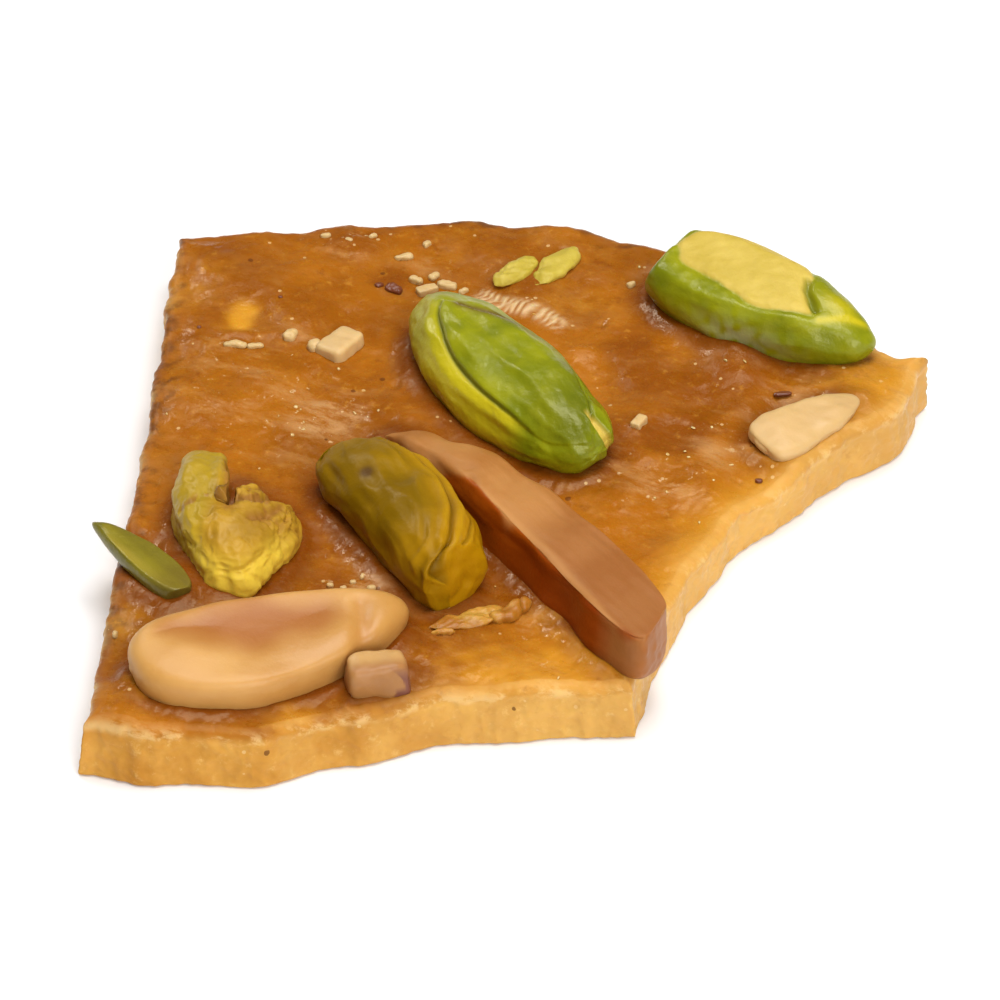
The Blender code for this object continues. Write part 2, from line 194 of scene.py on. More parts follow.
def within(x, y, bends):
    """How far inside a closed outline each point of a plane lies, below 0 outside it."""
    closed = smooth_edge([*bends, bends[0]], 8 * len(bends) + 1)
    crossings = np.zeros(np.shape(x), int)
    for (ax, ay), (bx, by) in zip(closed, closed[1:]):
        if ay != by:
            crossings += ((ay > y) != (by > y)) & (x < (bx - ax) * (y - ay) / (by - ay) + ax)
    far = line_distance(x, y, closed)
    return np.where(crossings % 2 == 1, far, -far)


# ---------------------------------------------------------------- bodies of nuts


def kernel(
    size, blunt=(2.3, 2.3), square=2.0, slim=0.2, low=0.2, bow=0.0, rows=KERNEL_ROWS, columns=KERNEL_COLUMNS
):
    """Rings round X of an oval body: one superellipse from end to end and another across it.

    blunt has the powers of the first at the -X and the +X end, and square is the power of the second. slim
    and low take a share off the width and the height of the +X end, and bow bends the body sideways."""
    length, width, height = size
    x = -np.cos(np.linspace(0, np.pi, rows))[:, None]
    turn = np.linspace(0, 2 * np.pi, columns, endpoint=False)[None, :]
    power = np.where(x < 0, *blunt)
    radius = (1 - np.abs(x) ** power).clip(0) ** (1 / power)
    across = radius * (1 - slim * (x + 1) / 2) * signed_power(np.cos(turn), 2 / square) * width / 2
    up = radius * (1 - low * (x + 1) / 2) * signed_power(np.sin(turn), 2 / square) * height / 2
    return np.stack([x * length / 2 + 0 * turn, across + bow * (1 - x**2), up], -1)


def unrolled(size):
    """A kernel's own skin laid flat: distance along it, and degrees round it from its top line towards -Y."""
    x = -np.cos(np.linspace(0, np.pi, KERNEL_ROWS))[:, None] * size[0] / 2
    turn = np.degrees(np.linspace(0, 2 * np.pi, KERNEL_COLUMNS, endpoint=False))[None, :]
    return x + 0 * turn, np.mod(turn + 90, 360) - 180 + 0 * x


def lump(size, reach, square):
    """Rings round Z of a chunk, from its lowest point to its highest, with a superellipse for its sides.

    reach gives its outline as a share by angle, and square is the power of the superellipse."""
    width, depth, height = size
    climb = np.linspace(-np.pi / 2, np.pi / 2, CHUNK_ROWS)[:, None]
    turn = np.linspace(0, 2 * np.pi, CHUNK_COLUMNS, endpoint=False)[None, :]
    out = np.cos(climb).clip(0) ** (2 / square) * reach(turn)
    out[[0, -1]] = 0
    up = signed_power(np.sin(climb), 2 / square) * height / 2 + 0 * turn
    return np.stack([out * np.cos(turn) * width / 2, out * np.sin(turn) * depth / 2, up], -1)


def chip_reach(turn):
    """The outline of the almond chip as a share by angle: a square with its corners rounded off a little."""
    off_middle = np.mod(turn - 0.5, np.pi / 2) - np.pi / 4
    return np.minimum(math.cos(np.pi / 4) / np.cos(off_middle), 0.97)


def shave(points, normal, distance, soft=0.2):
    """Brings what lies past a plane back on to it, its edge rounded over about soft, and says how far past.

    How far past is in units of soft, and below 0 on the near side."""
    normal = np.asarray(normal, float) / np.linalg.norm(normal)
    past = (points @ normal - distance) / soft
    return points - soft * np.logaddexp(0, past)[..., None] * normal, past


def facing(rings):
    """Outward unit directions of closed rings, from the differences round them and from ring to ring."""
    round_them = np.roll(rings, -1, 1) - np.roll(rings, 1, 1)
    out = np.cross(round_them, np.gradient(rings, axis=0))
    out[0], out[-1] = out[1].mean(0), out[-2].mean(0)
    return out / np.linalg.norm(out, axis=-1, keepdims=True).clip(1e-9)


def swell(rings, height):
    """Moves a skin out along its own facing by a height field, which fades out where the end rings close."""
    rows = len(rings)
    ends = np.minimum(np.arange(rows), np.arange(rows)[::-1])[:, None]
    return rings + facing(rings) * (height * np.clip(ends / 3, 0, 1))[..., None]


def place(rings, at, turn):
    """Turns points by roll, pitch and heading in degrees, and moves them to their middle, as the CAD does."""
    matrix = np.array(Euler([math.radians(angle) for angle in turn]).to_matrix())
    return rings @ matrix.T + np.asarray(at)


def skin(rings, masks):
    """Vertices, faces and masks of a closed skin over rings of points, whose end rings are each one point."""
    rows, columns, _ = rings.shape

    def listed(grid):
        """A grid over the rings as a list over the vertices."""
        return np.concatenate([grid[0, :1], grid[1:-1].reshape(-1, *grid.shape[2:]), grid[-1, :1]])

    inner = np.arange(1, 1 + (rows - 2) * columns).reshape(rows - 2, columns)
    ahead = np.roll(inner, -1, 1)
    last = np.full(columns, (rows - 2) * columns + 1)
    quads = np.stack([inner[:-1], ahead[:-1], ahead[1:], inner[1:]], -1).reshape(-1, 4)
    first_cap = np.stack([0 * last, ahead[0], inner[0]], 1)
    last_cap = np.stack([inner[-1], ahead[-1], last], 1)
    flat = {name: listed(np.broadcast_to(mask, (rows, columns))) for name, mask in masks.items()}
    return listed(rings), quads, np.concatenate([first_cap, last_cap]), flat


def to_mesh(name, vertices, quads, triangles, masks, material):
    """A smooth mesh object from millimetre arrays, with one number for each vertex in every mask."""
    corners = np.concatenate([quads.ravel(), triangles.ravel()]).astype(np.int32)
    sizes = np.concatenate([np.full(len(quads), 4), np.full(len(triangles), 3)]).astype(np.int32)
    mesh = bpy.data.meshes.new(name)
    mesh.vertices.add(len(vertices))
    mesh.loops.add(len(corners))
    mesh.polygons.add(len(sizes))
    mesh.vertices.foreach_set("co", (vertices * MM).astype(np.float32).ravel())
    mesh.loops.foreach_set("vertex_index", corners)
    mesh.polygons.foreach_set("loop_start", (np.cumsum(sizes) - sizes).astype(np.int32))
    for mask, values in masks.items():
        layer = mesh.attributes.new(mask, "FLOAT", "POINT")
        layer.data.foreach_set("value", np.ascontiguousarray(values, np.float32))
    mesh.update(calc_edges=True)
    mesh.validate()
    mesh.shade_smooth()
    mesh.materials.append(material)
    piece = bpy.data.objects.new(name, mesh)
    bpy.context.scene.collection.objects.link(piece)
    return piece


def finish_piece(piece, slot, *nodes):
    """Puts a piece on the shard in place of its CAD nodes."""
    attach(piece, "root")
    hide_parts(*nodes)


def nut(name, rings, at, turn, material, slot, node, masks):
    """One nut, from its rings in its own axes, set in its place instead of its CAD node."""
    finish_piece(to_mesh(name, *skin(place(rings, at, turn), masks), material), slot, node)


# ---------------------------------------------------------------- the toffee


def outline(cells):
    """The broken outline in plan, roughened, round from the near left corner against the clock."""
    edges = (NEAR_EDGE, RIGHT_EDGE, FAR_EDGE, LEFT_EDGE)
    near, right, far, left = (smooth_edge(edge, cells + 1) for edge in edges)
    loop = np.concatenate([near[:-1], right[:-1], far[:0:-1], left[:0:-1]])
    wander = ripple(*loop.T, 7.0, 0.11, 11) + waves(loop, 2.2, 0.035, 12) + waves(loop, 0.9, 0.02, 13)
    return loop + outward(loop, cells) * wander[:, None]


def outward(loop, cells):
    """The outward direction at each point of a loop, softened over the same distance as the CAD's."""
    along = np.roll(loop, -1, 0) - np.roll(loop, 1, 0)
    side = np.stack([along[:, 1], -along[:, 0]], 1)
    for _ in range(round(3 * (cells / CAD_CELLS) ** 2)):
        side = side / np.linalg.norm(side, axis=1)[:, None]
        side = side + 0.5 * (np.roll(side, 1, 0) + np.roll(side, -1, 0))
    return side / np.linalg.norm(side, axis=1)[:, None]


def patch(loop):
    """A Coons patch: the grid of plan points spread between the loop's near, right, far and left sides."""
    n = len(loop) // 4
    closed = np.concatenate([loop, loop[:1]])
    near, right = closed[: n + 1], closed[n : 2 * n + 1]
    far, left = closed[2 * n : 3 * n + 1][::-1], closed[3 * n :][::-1]
    u = np.linspace(0, 1, n + 1)[:, None, None]
    v = np.linspace(0, 1, n + 1)[None, :, None]
    corners = (1 - u) * ((1 - v) * near[0] + v * far[0]) + u * ((1 - v) * near[-1] + v * far[-1])
    return (1 - v) * near[:, None] + v * far[:, None] + (1 - u) * left[None] + u * right[None] - corners


def fold_line(x):
    """Y of the fold across the far left of the top: a sine along X."""
    return 10.7 + 0.8 * np.sin((x + 18.6) / 3.5)


def top_height(x, y):
    """Height of the poured top, as the CAD has it: slow waves, a thick corner, a thin hollow edge, a fold."""
    corner = 0.40 * np.exp(-((x - 20.4) ** 2 + (y - 7.2) ** 2) / 90)
    hollow = -0.30 * np.exp(-((x - 10.4) ** 2 + (y + 3.8) ** 2) / 60)
    fold = 0.30 * bump(x, -14.6, 8) / (1 + np.exp((fold_line(x) - y) / 0.5))
    slow = ripple(x, y, 11.0, 0.15, 21) + ripple(x, y, 5.0, 0.09, 22)
    return THICKNESS + corner + hollow + fold + slow


def rim_section(rows):
    """The rim from the top to the underside, round at its shoulder and its foot.

    Each row is how far out from the face it lies, 0 or less, and its height as a share of the thickness."""
    quarter = np.linspace(0, np.pi / 2, 12)
    shoulder = [SHOULDER * (np.sin(quarter) - 1), THICKNESS - SHOULDER_DROP * (1 - np.cos(quarter))]
    foot = [FOOT * (np.cos(quarter) - 1), FOOT * (1 - np.sin(quarter))]
    return evenly(np.concatenate([shoulder, foot], 1).T, rows + 1) / [1, THICKNESS]


def face_lean(loop):
    """How far the foot stands out past the top: out along the near edge, and under along the hollow one."""
    near = bump(loop[:, 1], -21.8, 6)
    hollow = np.exp(-(((loop[:, 0] - 14.4) / 7) ** 2) - ((loop[:, 1] - 0.2) / 8) ** 2)
    return 0.45 * near - 0.2 * hollow


# The height at which the nuts go into the toffee, and how far off it a point still counts
WATERLINE, WATERLINE_BAND = 3.6, 0.5
BEARINGS = 120


def waterline(rings, at, turn):
    """Where a nut goes into the toffee: the middle of its outline there, and its reach at even bearings."""
    points = place(rings, at, turn).reshape(-1, 3)
    ring = points[np.abs(points[:, 2] - WATERLINE) < WATERLINE_BAND][:, :2]
    middle = (ring.min(0) + ring.max(0)) / 2
    bearing, reach = np.arctan2(*(ring - middle).T[::-1]), np.linalg.norm(ring - middle, axis=1)
    bins = np.linspace(-np.pi, np.pi, BEARINGS + 1)
    which = np.digitize(bearing, bins) - 1
    out = np.array([reach[which == k].max() if (which == k).any() else np.nan for k in range(BEARINGS)])
    known = ~np.isnan(out)
    centres = (bins[:-1] + bins[1:]) / 2
    return middle, centres, np.interp(centres, centres[known], out[known], period=2 * np.pi)


def nut_distance(x, y):
    """Distance in plan from the outline of the nearest sunk nut, below 0 under it."""
    points = np.stack([x.ravel(), y.ravel()], 1)
    nearest = np.full(len(points), FAR_OFF)
    for middle, bearing, reach in SUNK_NUTS:
        loop = middle + reach[:, None] * np.stack([np.cos(bearing), np.sin(bearing)], 1)
        arm = points - middle
        close = np.linalg.norm(arm, axis=1) < reach.max() + FARTHEST_USED
        edge = np.interp(np.arctan2(arm[:, 1], arm[:, 0]), bearing, reach, period=2 * np.pi)
        far = np.full(len(points), FAR_OFF)
        far[close] = line_distance(*points[close].T, [*loop, loop[0]])
        nearest = np.minimum(nearest, np.where(np.linalg.norm(arm, axis=1) < edge, -far, far))
    return nearest.reshape(x.shape)


def broken_reach(turn):
    """The outline of the broken kernel as a share by angle: a long finger, a cleft and a shorter lobe."""
    cleft = 0.54 * bump(turn, 1.72, 0.14)
    finger = 0.12 * bump(turn, 2.10, 0.25)
    short = 0.32 * bump(turn, 0.98, 0.62)
    return 1 - cleft + finger - short + 0.03 * np.cos(5 * turn)


# The nuts as the CAD has them, because the toffee is drawn up round those
SUNK_NUTS = [
    waterline(kernel(SPLIT_SIZE, **SPLIT_FORM), SPLIT_AT, SPLIT_TURN),
    waterline(kernel(CORNER_SIZE, **CORNER_FORM), CORNER_AT, CORNER_TURN),
    waterline(kernel(OLIVE_SIZE, **OLIVE_FORM), OLIVE_AT, OLIVE_TURN),
    waterline(lump(BROKEN_SIZE, broken_reach, BROKEN_SQUARE), BROKEN_AT, BROKEN_TURN),
    waterline(kernel(SLIVER_SIZE, **SLIVER_FORM), SLIVER_AT, SLIVER_TURN),
    waterline(kernel(HALF_SIZE, **HALF_FORM), HALF_AT, HALF_TURN),
    waterline(lump(CHIP_SIZE, chip_reach, CHIP_SQUARE), CHIP_AT, CHIP_TURN),
    waterline(kernel(STICK_SIZE, **STICK_FORM), STICK_AT, STICK_TURN),
    waterline(kernel(SLICE_SIZE, **SLICE_FORM), SLICE_AT, SLICE_TURN),
]

# Places on the top, each with a radius and a strength
# Spots where the skin crinkles: pale sugar haze there, with painted sheen and glints laid over it
HAZE_AND_SHEEN = [
    ((-14.6, 11.0), 1.3, 0.9), ((-11.4, 11.6), 1.2, 0.8), ((-20.0, -9.0), 1.6, 0.5), ((-6.6, -11.0), 1.2, 0.6),
    ((-13.2, 5.4), 4.4, 0.9), ((-9.8, 4.0), 3.0, 0.8), ((-16.2, 8.4), 2.4, 0.7), ((7.4, -0.4), 3.4, 1.0),
    ((9.8, 1.2), 2.6, 0.6), ((0.6, 14.2), 1.7, 1.0), ((3.0, 12.6), 1.2, 0.8), ((15.2, 7.0), 1.5, 1.0),
    ((-8.6, 20.0), 2.0, 0.8), ((-10.6, 20.4), 1.6, 0.7), ((-3.4, -14.0), 2.0, 0.6), ((1.2, -13.6), 1.8, 0.7),
    ((2.4, -16.4), 1.6, 0.6), ((-10.0, -11.2), 2.2, 0.6), ((-4.6, 17.4), 1.5, 0.9), ((12.4, 4.0), 2.0, 0.4),
    ((20.9, 8.2), 2.0, 0.6), ((19.2, 5.0), 1.8, 0.5), ((4.2, 10.3), 1.0, 1.0), ((-8.6, -9.6), 1.4, 0.6),
]
# Spots where the toffee is thin and paler, with a painted highlight and glow along the near shoulder and the
# right rim
THIN_AND_HIGHLIT = [
    ((-1.4, -17.2), 3.2, 0.6), ((3.2, -16.8), 3.4, 0.68), ((10.6, -4.6), 2.6, 0.7), ((7.6, -9.4), 2.6, 0.6),
    ((14.6, 1.0), 2.4, 0.7), ((19.6, 6.4), 2.8, 0.9), ((21.2, 9.2), 2.2, 1.0), ((-19.2, -17.8), 2.4, 0.6),
    ((-17.4, 15.4), 2.4, 0.4), ((2.6, -12.2), 1.6, 0.4), ((7.0, -14.6), 2.0, 0.8), ((-20.6, -12.6), 1.6, 0.5),
    ((-11.6, -20.4), 2.2, 0.6), ((-6.5, -20.0), 1.6, 0.5), ((3.6, 14.8), 2.2, 0.35),
]
# Darker brown patches: partly the toffee's own darker tone, partly painted shade in the pit, round the nuts and
# under the far rim
BROWN_AND_SHADE = [
    ((9.6, 7.6), 3.4, 0.8), ((9.4, 3.4), 1.6, 0.6), ((4.4, 1.6), 2.6, 0.6), ((-9.8, -3.0), 2.8, 0.6),
    ((-9.4, 20.6), 3.2, 0.8), ((-15.6, 19.2), 2.2, 0.6), ((-4.8, 21.4), 2.4, 0.5), ((8.7, 2.9), 1.5, 1.4),
    ((-6.4, 16.6), 1.2, 0.9), ((-17.6, 2.0), 2.4, 0.4), ((7.4, 17.6), 2.6, 0.4), ((-9.8, -9.6), 2.0, 0.6),
    ((-14.6, -20.4), 2.4, 0.5), ((-2.4, -1.2), 1.6, 0.5), ((13.4, 8.2), 1.8, 0.5), ((6.4, 11.0), 1.6, 0.9),
    ((7.0, 8.0), 1.6, 0.6), ((-16.0, 5.1), 2.4, 0.35),
]
# Whitish streaks: partly milky sugar, partly painted glossy highlights
MILKY_AND_SHEEN = [
    ((-10.3, 4.5), 1.9, 1.0), ((-8.8, 5.3), 1.1, 0.8), ((10.6, 1.8), 1.5, 0.8), ((8.2, -1.0), 1.7, 0.7),
    ((6.6, -2.6), 1.2, 0.6), ((-7.6, -9.4), 1.3, 0.8), ((-13.6, 8.0), 1.0, 0.6),
]
GOLD = [((-14.6, 13.7), 1.0, 1.0), ((-14.8, 12.4), 0.65, 0.9)]  # a bit sunk under the skin

# Places on the top, each with a radius and a height or a depth
TOP_BUMPS = [
    ((3.8, 10.5), 0.95, 0.30), ((-14.7, 13.2), 1.2, 0.03), ((6.9, 3.7), 0.5, 0.20), ((-8.4, 20.0), 1.0, 0.14),
]
PITS = [((8.4, 3.0), 1.4, 0.24), ((-6.3, 7.4), 0.35, 0.16), ((4.9, 13.0), 0.3, 0.14), ((-15.4, 2.2), 0.4, 0.14)]
SMALL_PITS = 60
FOLD_APART = 0.62
COMB_START, COMB_HEADING, COMB_APART = (-1.9, 15.5), (0.83, -0.56), 0.46
BREAK_SIZES = [(4.2, 0.05), (1.7, 0.045), (0.8, 0.040), (0.40, 0.026)]  # wavelength and height, coarse to fine


def strength(x, y, spots):
    """Round spots of a strength, added up and kept under 1, with a border that wanders."""
    plan = np.stack([x, y], -1)
    total = sum(weight * spot(x, y, at, radius) for at, radius, weight in spots)
    return step(total + waves(plan, 4.0, 0.07, 41) + waves(plan, 1.4, 0.05, 42), 0.12, 0.95)


def folds(x, y):
    """Fine wrinkles: a sharp-crested sine across a direction that wanders with the place."""
    plan = np.stack([x, y], -1)
    across = x * 0.87 - y * 0.5 + waves(plan, 7.0, 1.2, 43) + waves(plan, 2.0, 0.22, 44)
    crests = (1 - np.abs(np.sin(np.pi * across / FOLD_APART))) ** 1.4
    return crests * step(waves(plan, 1.8, 1.0, 45), -0.9, 0.9)


def combed(x, y):
    """Short steep wrinkles side by side where the skin was dragged past the far side of the split kernel."""
    plan = np.stack([x, y], -1)
    dx, dy = x - COMB_START[0], y - COMB_START[1]
    along = dx * COMB_HEADING[0] + dy * COMB_HEADING[1]
    off = np.abs(dy * COMB_HEADING[0] - dx * COMB_HEADING[1] - 0.10 + 0.25 * np.sin(along * 1.1))
    crests = np.abs(np.cos(np.pi * (along + 0.35 * off + waves(plan, 2.0, 0.12, 47)) / COMB_APART)) ** 1.5
    return crests * step(along, -0.3, 0.6) * (1 - step(along, 4.9, 6.0)) * (1 - step(off, 0.35, 0.95))


def pit_depth(x, y):
    """Burst bubbles: a few listed and the rest scattered, each a bell-shaped bowl with a faint raised lip."""
    draw = np.random.default_rng(51)
    scattered = zip(draw.uniform(-20, 20, (SMALL_PITS, 2)), draw.uniform(0.10, 0.22, SMALL_PITS))
    bowls = PITS + [(at, radius, 0.4 * radius) for at, radius in scattered]
    depth = np.zeros(x.shape)
    for at, radius, deep in bowls:
        far = np.hypot(x - at[0], y - at[1]) / radius
        depth += deep * (bump(far, 0, 1) - 0.25 * bump(far, 1.5, 0.35))
    return depth


def fine_top(x, y, rim_far):
    """What the looks add to the CAD's top: waves, wrinkles, bumps, pits, and toffee drawn up round the nuts.

    All but the collars and some of the waves fades out near the rim, which has small chips of its own."""
    inner = step(rim_far, 0.7, 1.8)
    plan = np.stack([x, y], -1)
    near_nut = nut_distance(x, y)
    collar = 0.16 * bump(near_nut.clip(0), 0, 0.40) - 0.05 * bump(near_nut, 1.0, 0.4)
    under_slice = np.hypot((x - SLICE_AT[0]) / 3.9, (y - SLICE_AT[1]) / 2.9)
    collar = collar - 0.42 * np.exp(-(under_slice**6))
    lip = 0.10 * bump(y, fold_line(x) + 0.35, 0.28) * step(-x, 5.0, 9.0)
    lip = lip * step(waves(plan, 3.0, 1.0, 50), -1.2, 0.4)
    small = waves(plan, 2.8, 0.020, 52) + waves(plan, 1.2, 0.012, 53) + waves(plan, 0.62, 0.009, 54) + lip
    rim_chips = np.abs(waves(plan, 1.5, 0.05, 55)) + np.abs(waves(plan, 0.6, 0.03, 56))
    wrinkles = 0.060 * strength(x, y, HAZE_AND_SHEEN) * folds(x, y) + 0.13 * combed(x, y)
    bumps = sum(height * spot(x, y, at, radius) for at, radius, height in TOP_BUMPS)
    spread_out = (0.35 + 0.65 * inner) * (small - (1 - inner) * rim_chips)
    return collar + spread_out + inner * (wrinkles + bumps - pit_depth(x, y))


def break_relief(points, seed):
    """The grain of the broken rim, below 0 where bits have come away: the folded waves of all its sizes."""
    return -sum(np.abs(waves(points, *size, seed + k)) for k, size in enumerate(BREAK_SIZES))


UNDERSIDE = 1.2  # the "side" mask under the foot; it is 0 on the top and goes to 1 down the rim


def slab_rows(loop, away, edge):
    """Rows of points from the top's edge down the rim and in under the sheet.

    The "side" mask of each row and the middle point of the underside come with them."""
    lean = face_lean(loop)
    rows, sides = [edge], [0.0]
    for out, level in rim_section(SLAB_RIM_ROWS)[1:]:
        shift = out - lean.clip(0) * level + lean.clip(None, 0) * (1 - level)
        flat_row = np.column_stack([loop + away * shift[:, None], edge[:, 2] * level])
        rough = step(np.array(1 - level), 0.02, 0.24) * step(np.array(level), 0.0, 0.12)
        chips = break_relief(flat_row, 61) * rough
        rows.append(flat_row + np.column_stack([away * chips[:, None], 0 * chips]))
        sides.append(1 - level)
    foot, middle = rows[-1], np.array([*loop.mean(0), 0.0])
    for share in np.linspace(0, 1, SLAB_UNDER_RINGS + 2)[1:-1]:
        rows.append(foot + (middle - foot) * share)
        sides.append(UNDERSIDE)
    return rows, sides, middle


def slab_masks(x, y, rim, side):
    """The masks of the toffee's finish.

    They come from each vertex's place in plan, its distance from the rim in millimetres, and its "side"."""
    front = line_distance(x, y, smooth_edge(NEAR_EDGE + RIGHT_EDGE[1:], 90))
    back = line_distance(x, y, smooth_edge(FAR_EDGE[:0:-1] + LEFT_EDGE[:0:-1], 90))
    # a painted highlight along the near shoulder
    near_band_highlight = step(-front, -2.8, -0.3) * (0.12 + 0.88 * step(x, -14.0, 5.0))
    ragged = waves(np.stack([x, y], -1), 1.1, 0.25, 46)
    clear = 1 - spot(x, y, PITS[0][0], 1.9)
    return {
        "side": side,
        "rim": rim,
        # crinkled areas: pale haze with painted sheen and glints
        "haze_and_sheen": strength(x, y, HAZE_AND_SHEEN) * clear,
        # painted glints on the combed wrinkles
        "combed_glints": combed(x, y),
        # paler where thin, with a painted highlight along the near shoulder and the right rim
        "thin_and_highlit": np.maximum(strength(x, y, THIN_AND_HIGHLIT), near_band_highlight),
        # darker along the far and left rims
        "back_rim_dark": step(-back + ragged, -1.3, -0.2) * step(-side, -0.5, -0.2),
        # darker brown: partly own tone, partly painted shade
        "brown": strength(x, y, BROWN_AND_SHADE),
        "gold": strength(x, y, GOLD),
        # whitish streaks: milky sugar and painted glossy highlights
        "milk_and_sheen": strength(x, y, MILKY_AND_SHEEN) * clear,
        "nut_far": nut_distance(x, y),
    }


def toffee_slab(material):
    """The sheet of toffee: a Coons patch for its top, rows down its rim to the foot, and rings underneath.

    Its plan is scaled to the CAD's width and depth, because the roughened outline strays from them."""
    n = SLAB_CELLS
    loop = outline(n)
    around = len(loop)
    away = outward(loop, n)
    plan = patch(loop - away * (SHOULDER + face_lean(loop).clip(0))[:, None])
    x, y = plan[..., 0], plan[..., 1]
    rim_far = line_distance(x, y, [*loop[::4], loop[0]])
    top = np.dstack([plan, top_height(x, y) + fine_top(x, y, rim_far)])
    numbers = np.arange((n + 1) ** 2).reshape(n + 1, n + 1)
    border = np.concatenate([numbers[:-1, 0], numbers[-1, :-1], numbers[:0:-1, -1], numbers[0, :0:-1]])

    rows, sides, middle = slab_rows(loop, away, top.reshape(-1, 3)[border])
    vertices = np.concatenate([top.reshape(-1, 3), *rows[1:], middle[None]])
    low, high = vertices[:, :2].min(0), vertices[:, :2].max(0)
    vertices[:, :2] = (vertices[:, :2] - (low + high) / 2) * np.array([WIDTH, DEPTH]) / (high - low)

    rings = [border] + [numbers.size + k * around + np.arange(around) for k in range(len(rows) - 1)]
    cells = [numbers[:-1, :-1], numbers[1:, :-1], numbers[1:, 1:], numbers[:-1, 1:]]
    cells = np.stack(cells, -1).reshape(-1, 4)
    bands = [np.stack([a, b, np.roll(b, -1), np.roll(a, -1)], 1) for a, b in zip(rings, rings[1:])]
    fan = np.stack([rings[-1], np.full(around, len(vertices) - 1), np.roll(rings[-1], -1)], 1)

    side = np.concatenate([np.zeros(numbers.size), np.repeat(sides[1:], around), [UNDERSIDE]])
    rim = np.concatenate([rim_far.ravel(), np.zeros(len(vertices) - numbers.size)])
    masks = slab_masks(vertices[:, 0], vertices[:, 1], rim, side)
    piece = to_mesh("toffee_slab", vertices, np.concatenate([cells, *bands]), fan, masks, material)
    finish_piece(piece, "toffee", "toffee_sheet")


# ---------------------------------------------------------------- the nuts

SPLIT_ROUND = 0.0585  # millimetres round each kernel's skin for a degree
OLIVE_ROUND = 0.0493


def split_kernel(material):
    """A whole kernel with slipped halves: a step runs round the upper half, with a yellow rim outside it.

    Its lines are drawn on its skin laid flat, x along it and t round it from its top line."""
    rings = kernel(SPLIT_SIZE, **SPLIT_FORM)
    x, round_it = unrolled(SPLIT_SIZE)
    t = round_it * SPLIT_ROUND
    left = [(-5.6, -0.3), (-5.2, 0.40), (-4.5, 0.90), (-3.4, 1.35), (-2.4, 1.70), (-1.3, 2.0), (0.1, 2.2)]
    left += [(1.5, 2.3), (2.8, 2.35), (4.1, 2.45), (5.2, 2.65)]
    right = [(7.2, -1.3), (6.3, -2.0), (5.3, -2.6), (3.6, -3.3), (2.0, -3.6), (0.3, -3.2), (-1.2, -2.7)]
    right += [(-2.4, -2.2), (-3.5, -1.5), (-4.6, -1.0)]
    inside = within(x, t, [*left, (6.6, 2.9), (7.7, 1.6), (7.9, 0.0), *right])
    left_line = line_distance(x, t, smooth_edge(left, 60))
    right_line = line_distance(x, t, smooth_edge(right, 60))
    fade_left = 1 - step(x, 2.6, 5.2)
    outside = step(-inside, -0.12, 0.16)
    lower_left = outside * step(t, -0.6, 0.6) * (1 - step(x, 3.4, 5.6))
    groove = bump(left_line, 0, 0.15) * fade_left + 0.9 * bump(right_line, 0, 0.14)
    upper = step(-np.abs(round_it), -125, -100)
    pinched = np.abs(waves(rings * [0.35, 1, 1], 1.6, 0.035, 74))
    veins = waves(rings * [0.30, 1, 1], 0.9, 0.016, 71) + waves(rings * [0.4, 1, 1], 2.4, 0.05, 72)
    veins = veins - (1 - lower_left) * pinched + waves(rings, 0.5, 0.006, 75)
    roll = 0.10 * bump(-inside, 0.85, 0.5) * lower_left
    cx, cy = rings[..., 0], rings[..., 1]
    cleft_far = line_distance(cx, cy, [(6.5, 0.75), (8.2, 1.0)]) - 0.16 - 0.20 * step(cx, 6.6, 8.0)
    cleft = step(-cleft_far, -0.08, 0.10) * step(cx, 6.1, 6.8) * step(rings[..., 2], -1.2, -0.4)
    waist = 0.18 * bump(np.hypot((x - 3.2) / 1.7, (t - 4.3) / 1.5), 0.0, 1.0) + waves(rings, 3.0, 0.04, 73)
    slip = upper * (0.17 * outside * (1 - 0.6 * step(x, 4.2, 6.4)) + 0.22 * groove)
    rings = swell(rings, veins - slip + roll - 0.3 * cleft - waist)
    masks = {
        "rim": lower_left * upper * (0.45 + 0.55 * step(x, -5.5, -0.5)),
        # the groove between the halves: dark as a joint, and partly painted shade
        "seam": np.clip(groove * upper, 0, 1),
        "skin": upper * bump(right_line, 0.1, 0.35) * step(-x, -3.0, 0.5) * (1 - step(-x, 5.0, 6.0)),
        "cut": cleft,
        "shade": step(x + 0.5 * (3 - t), 4.0, 8.5) * step(inside, -0.2, 0.5),
    }
    name, slot = "pistachio_split_kernel", "pistachio"
    nut(name, rings, SPLIT_AT, SPLIT_TURN, material, slot, "pistachio_split", masks)


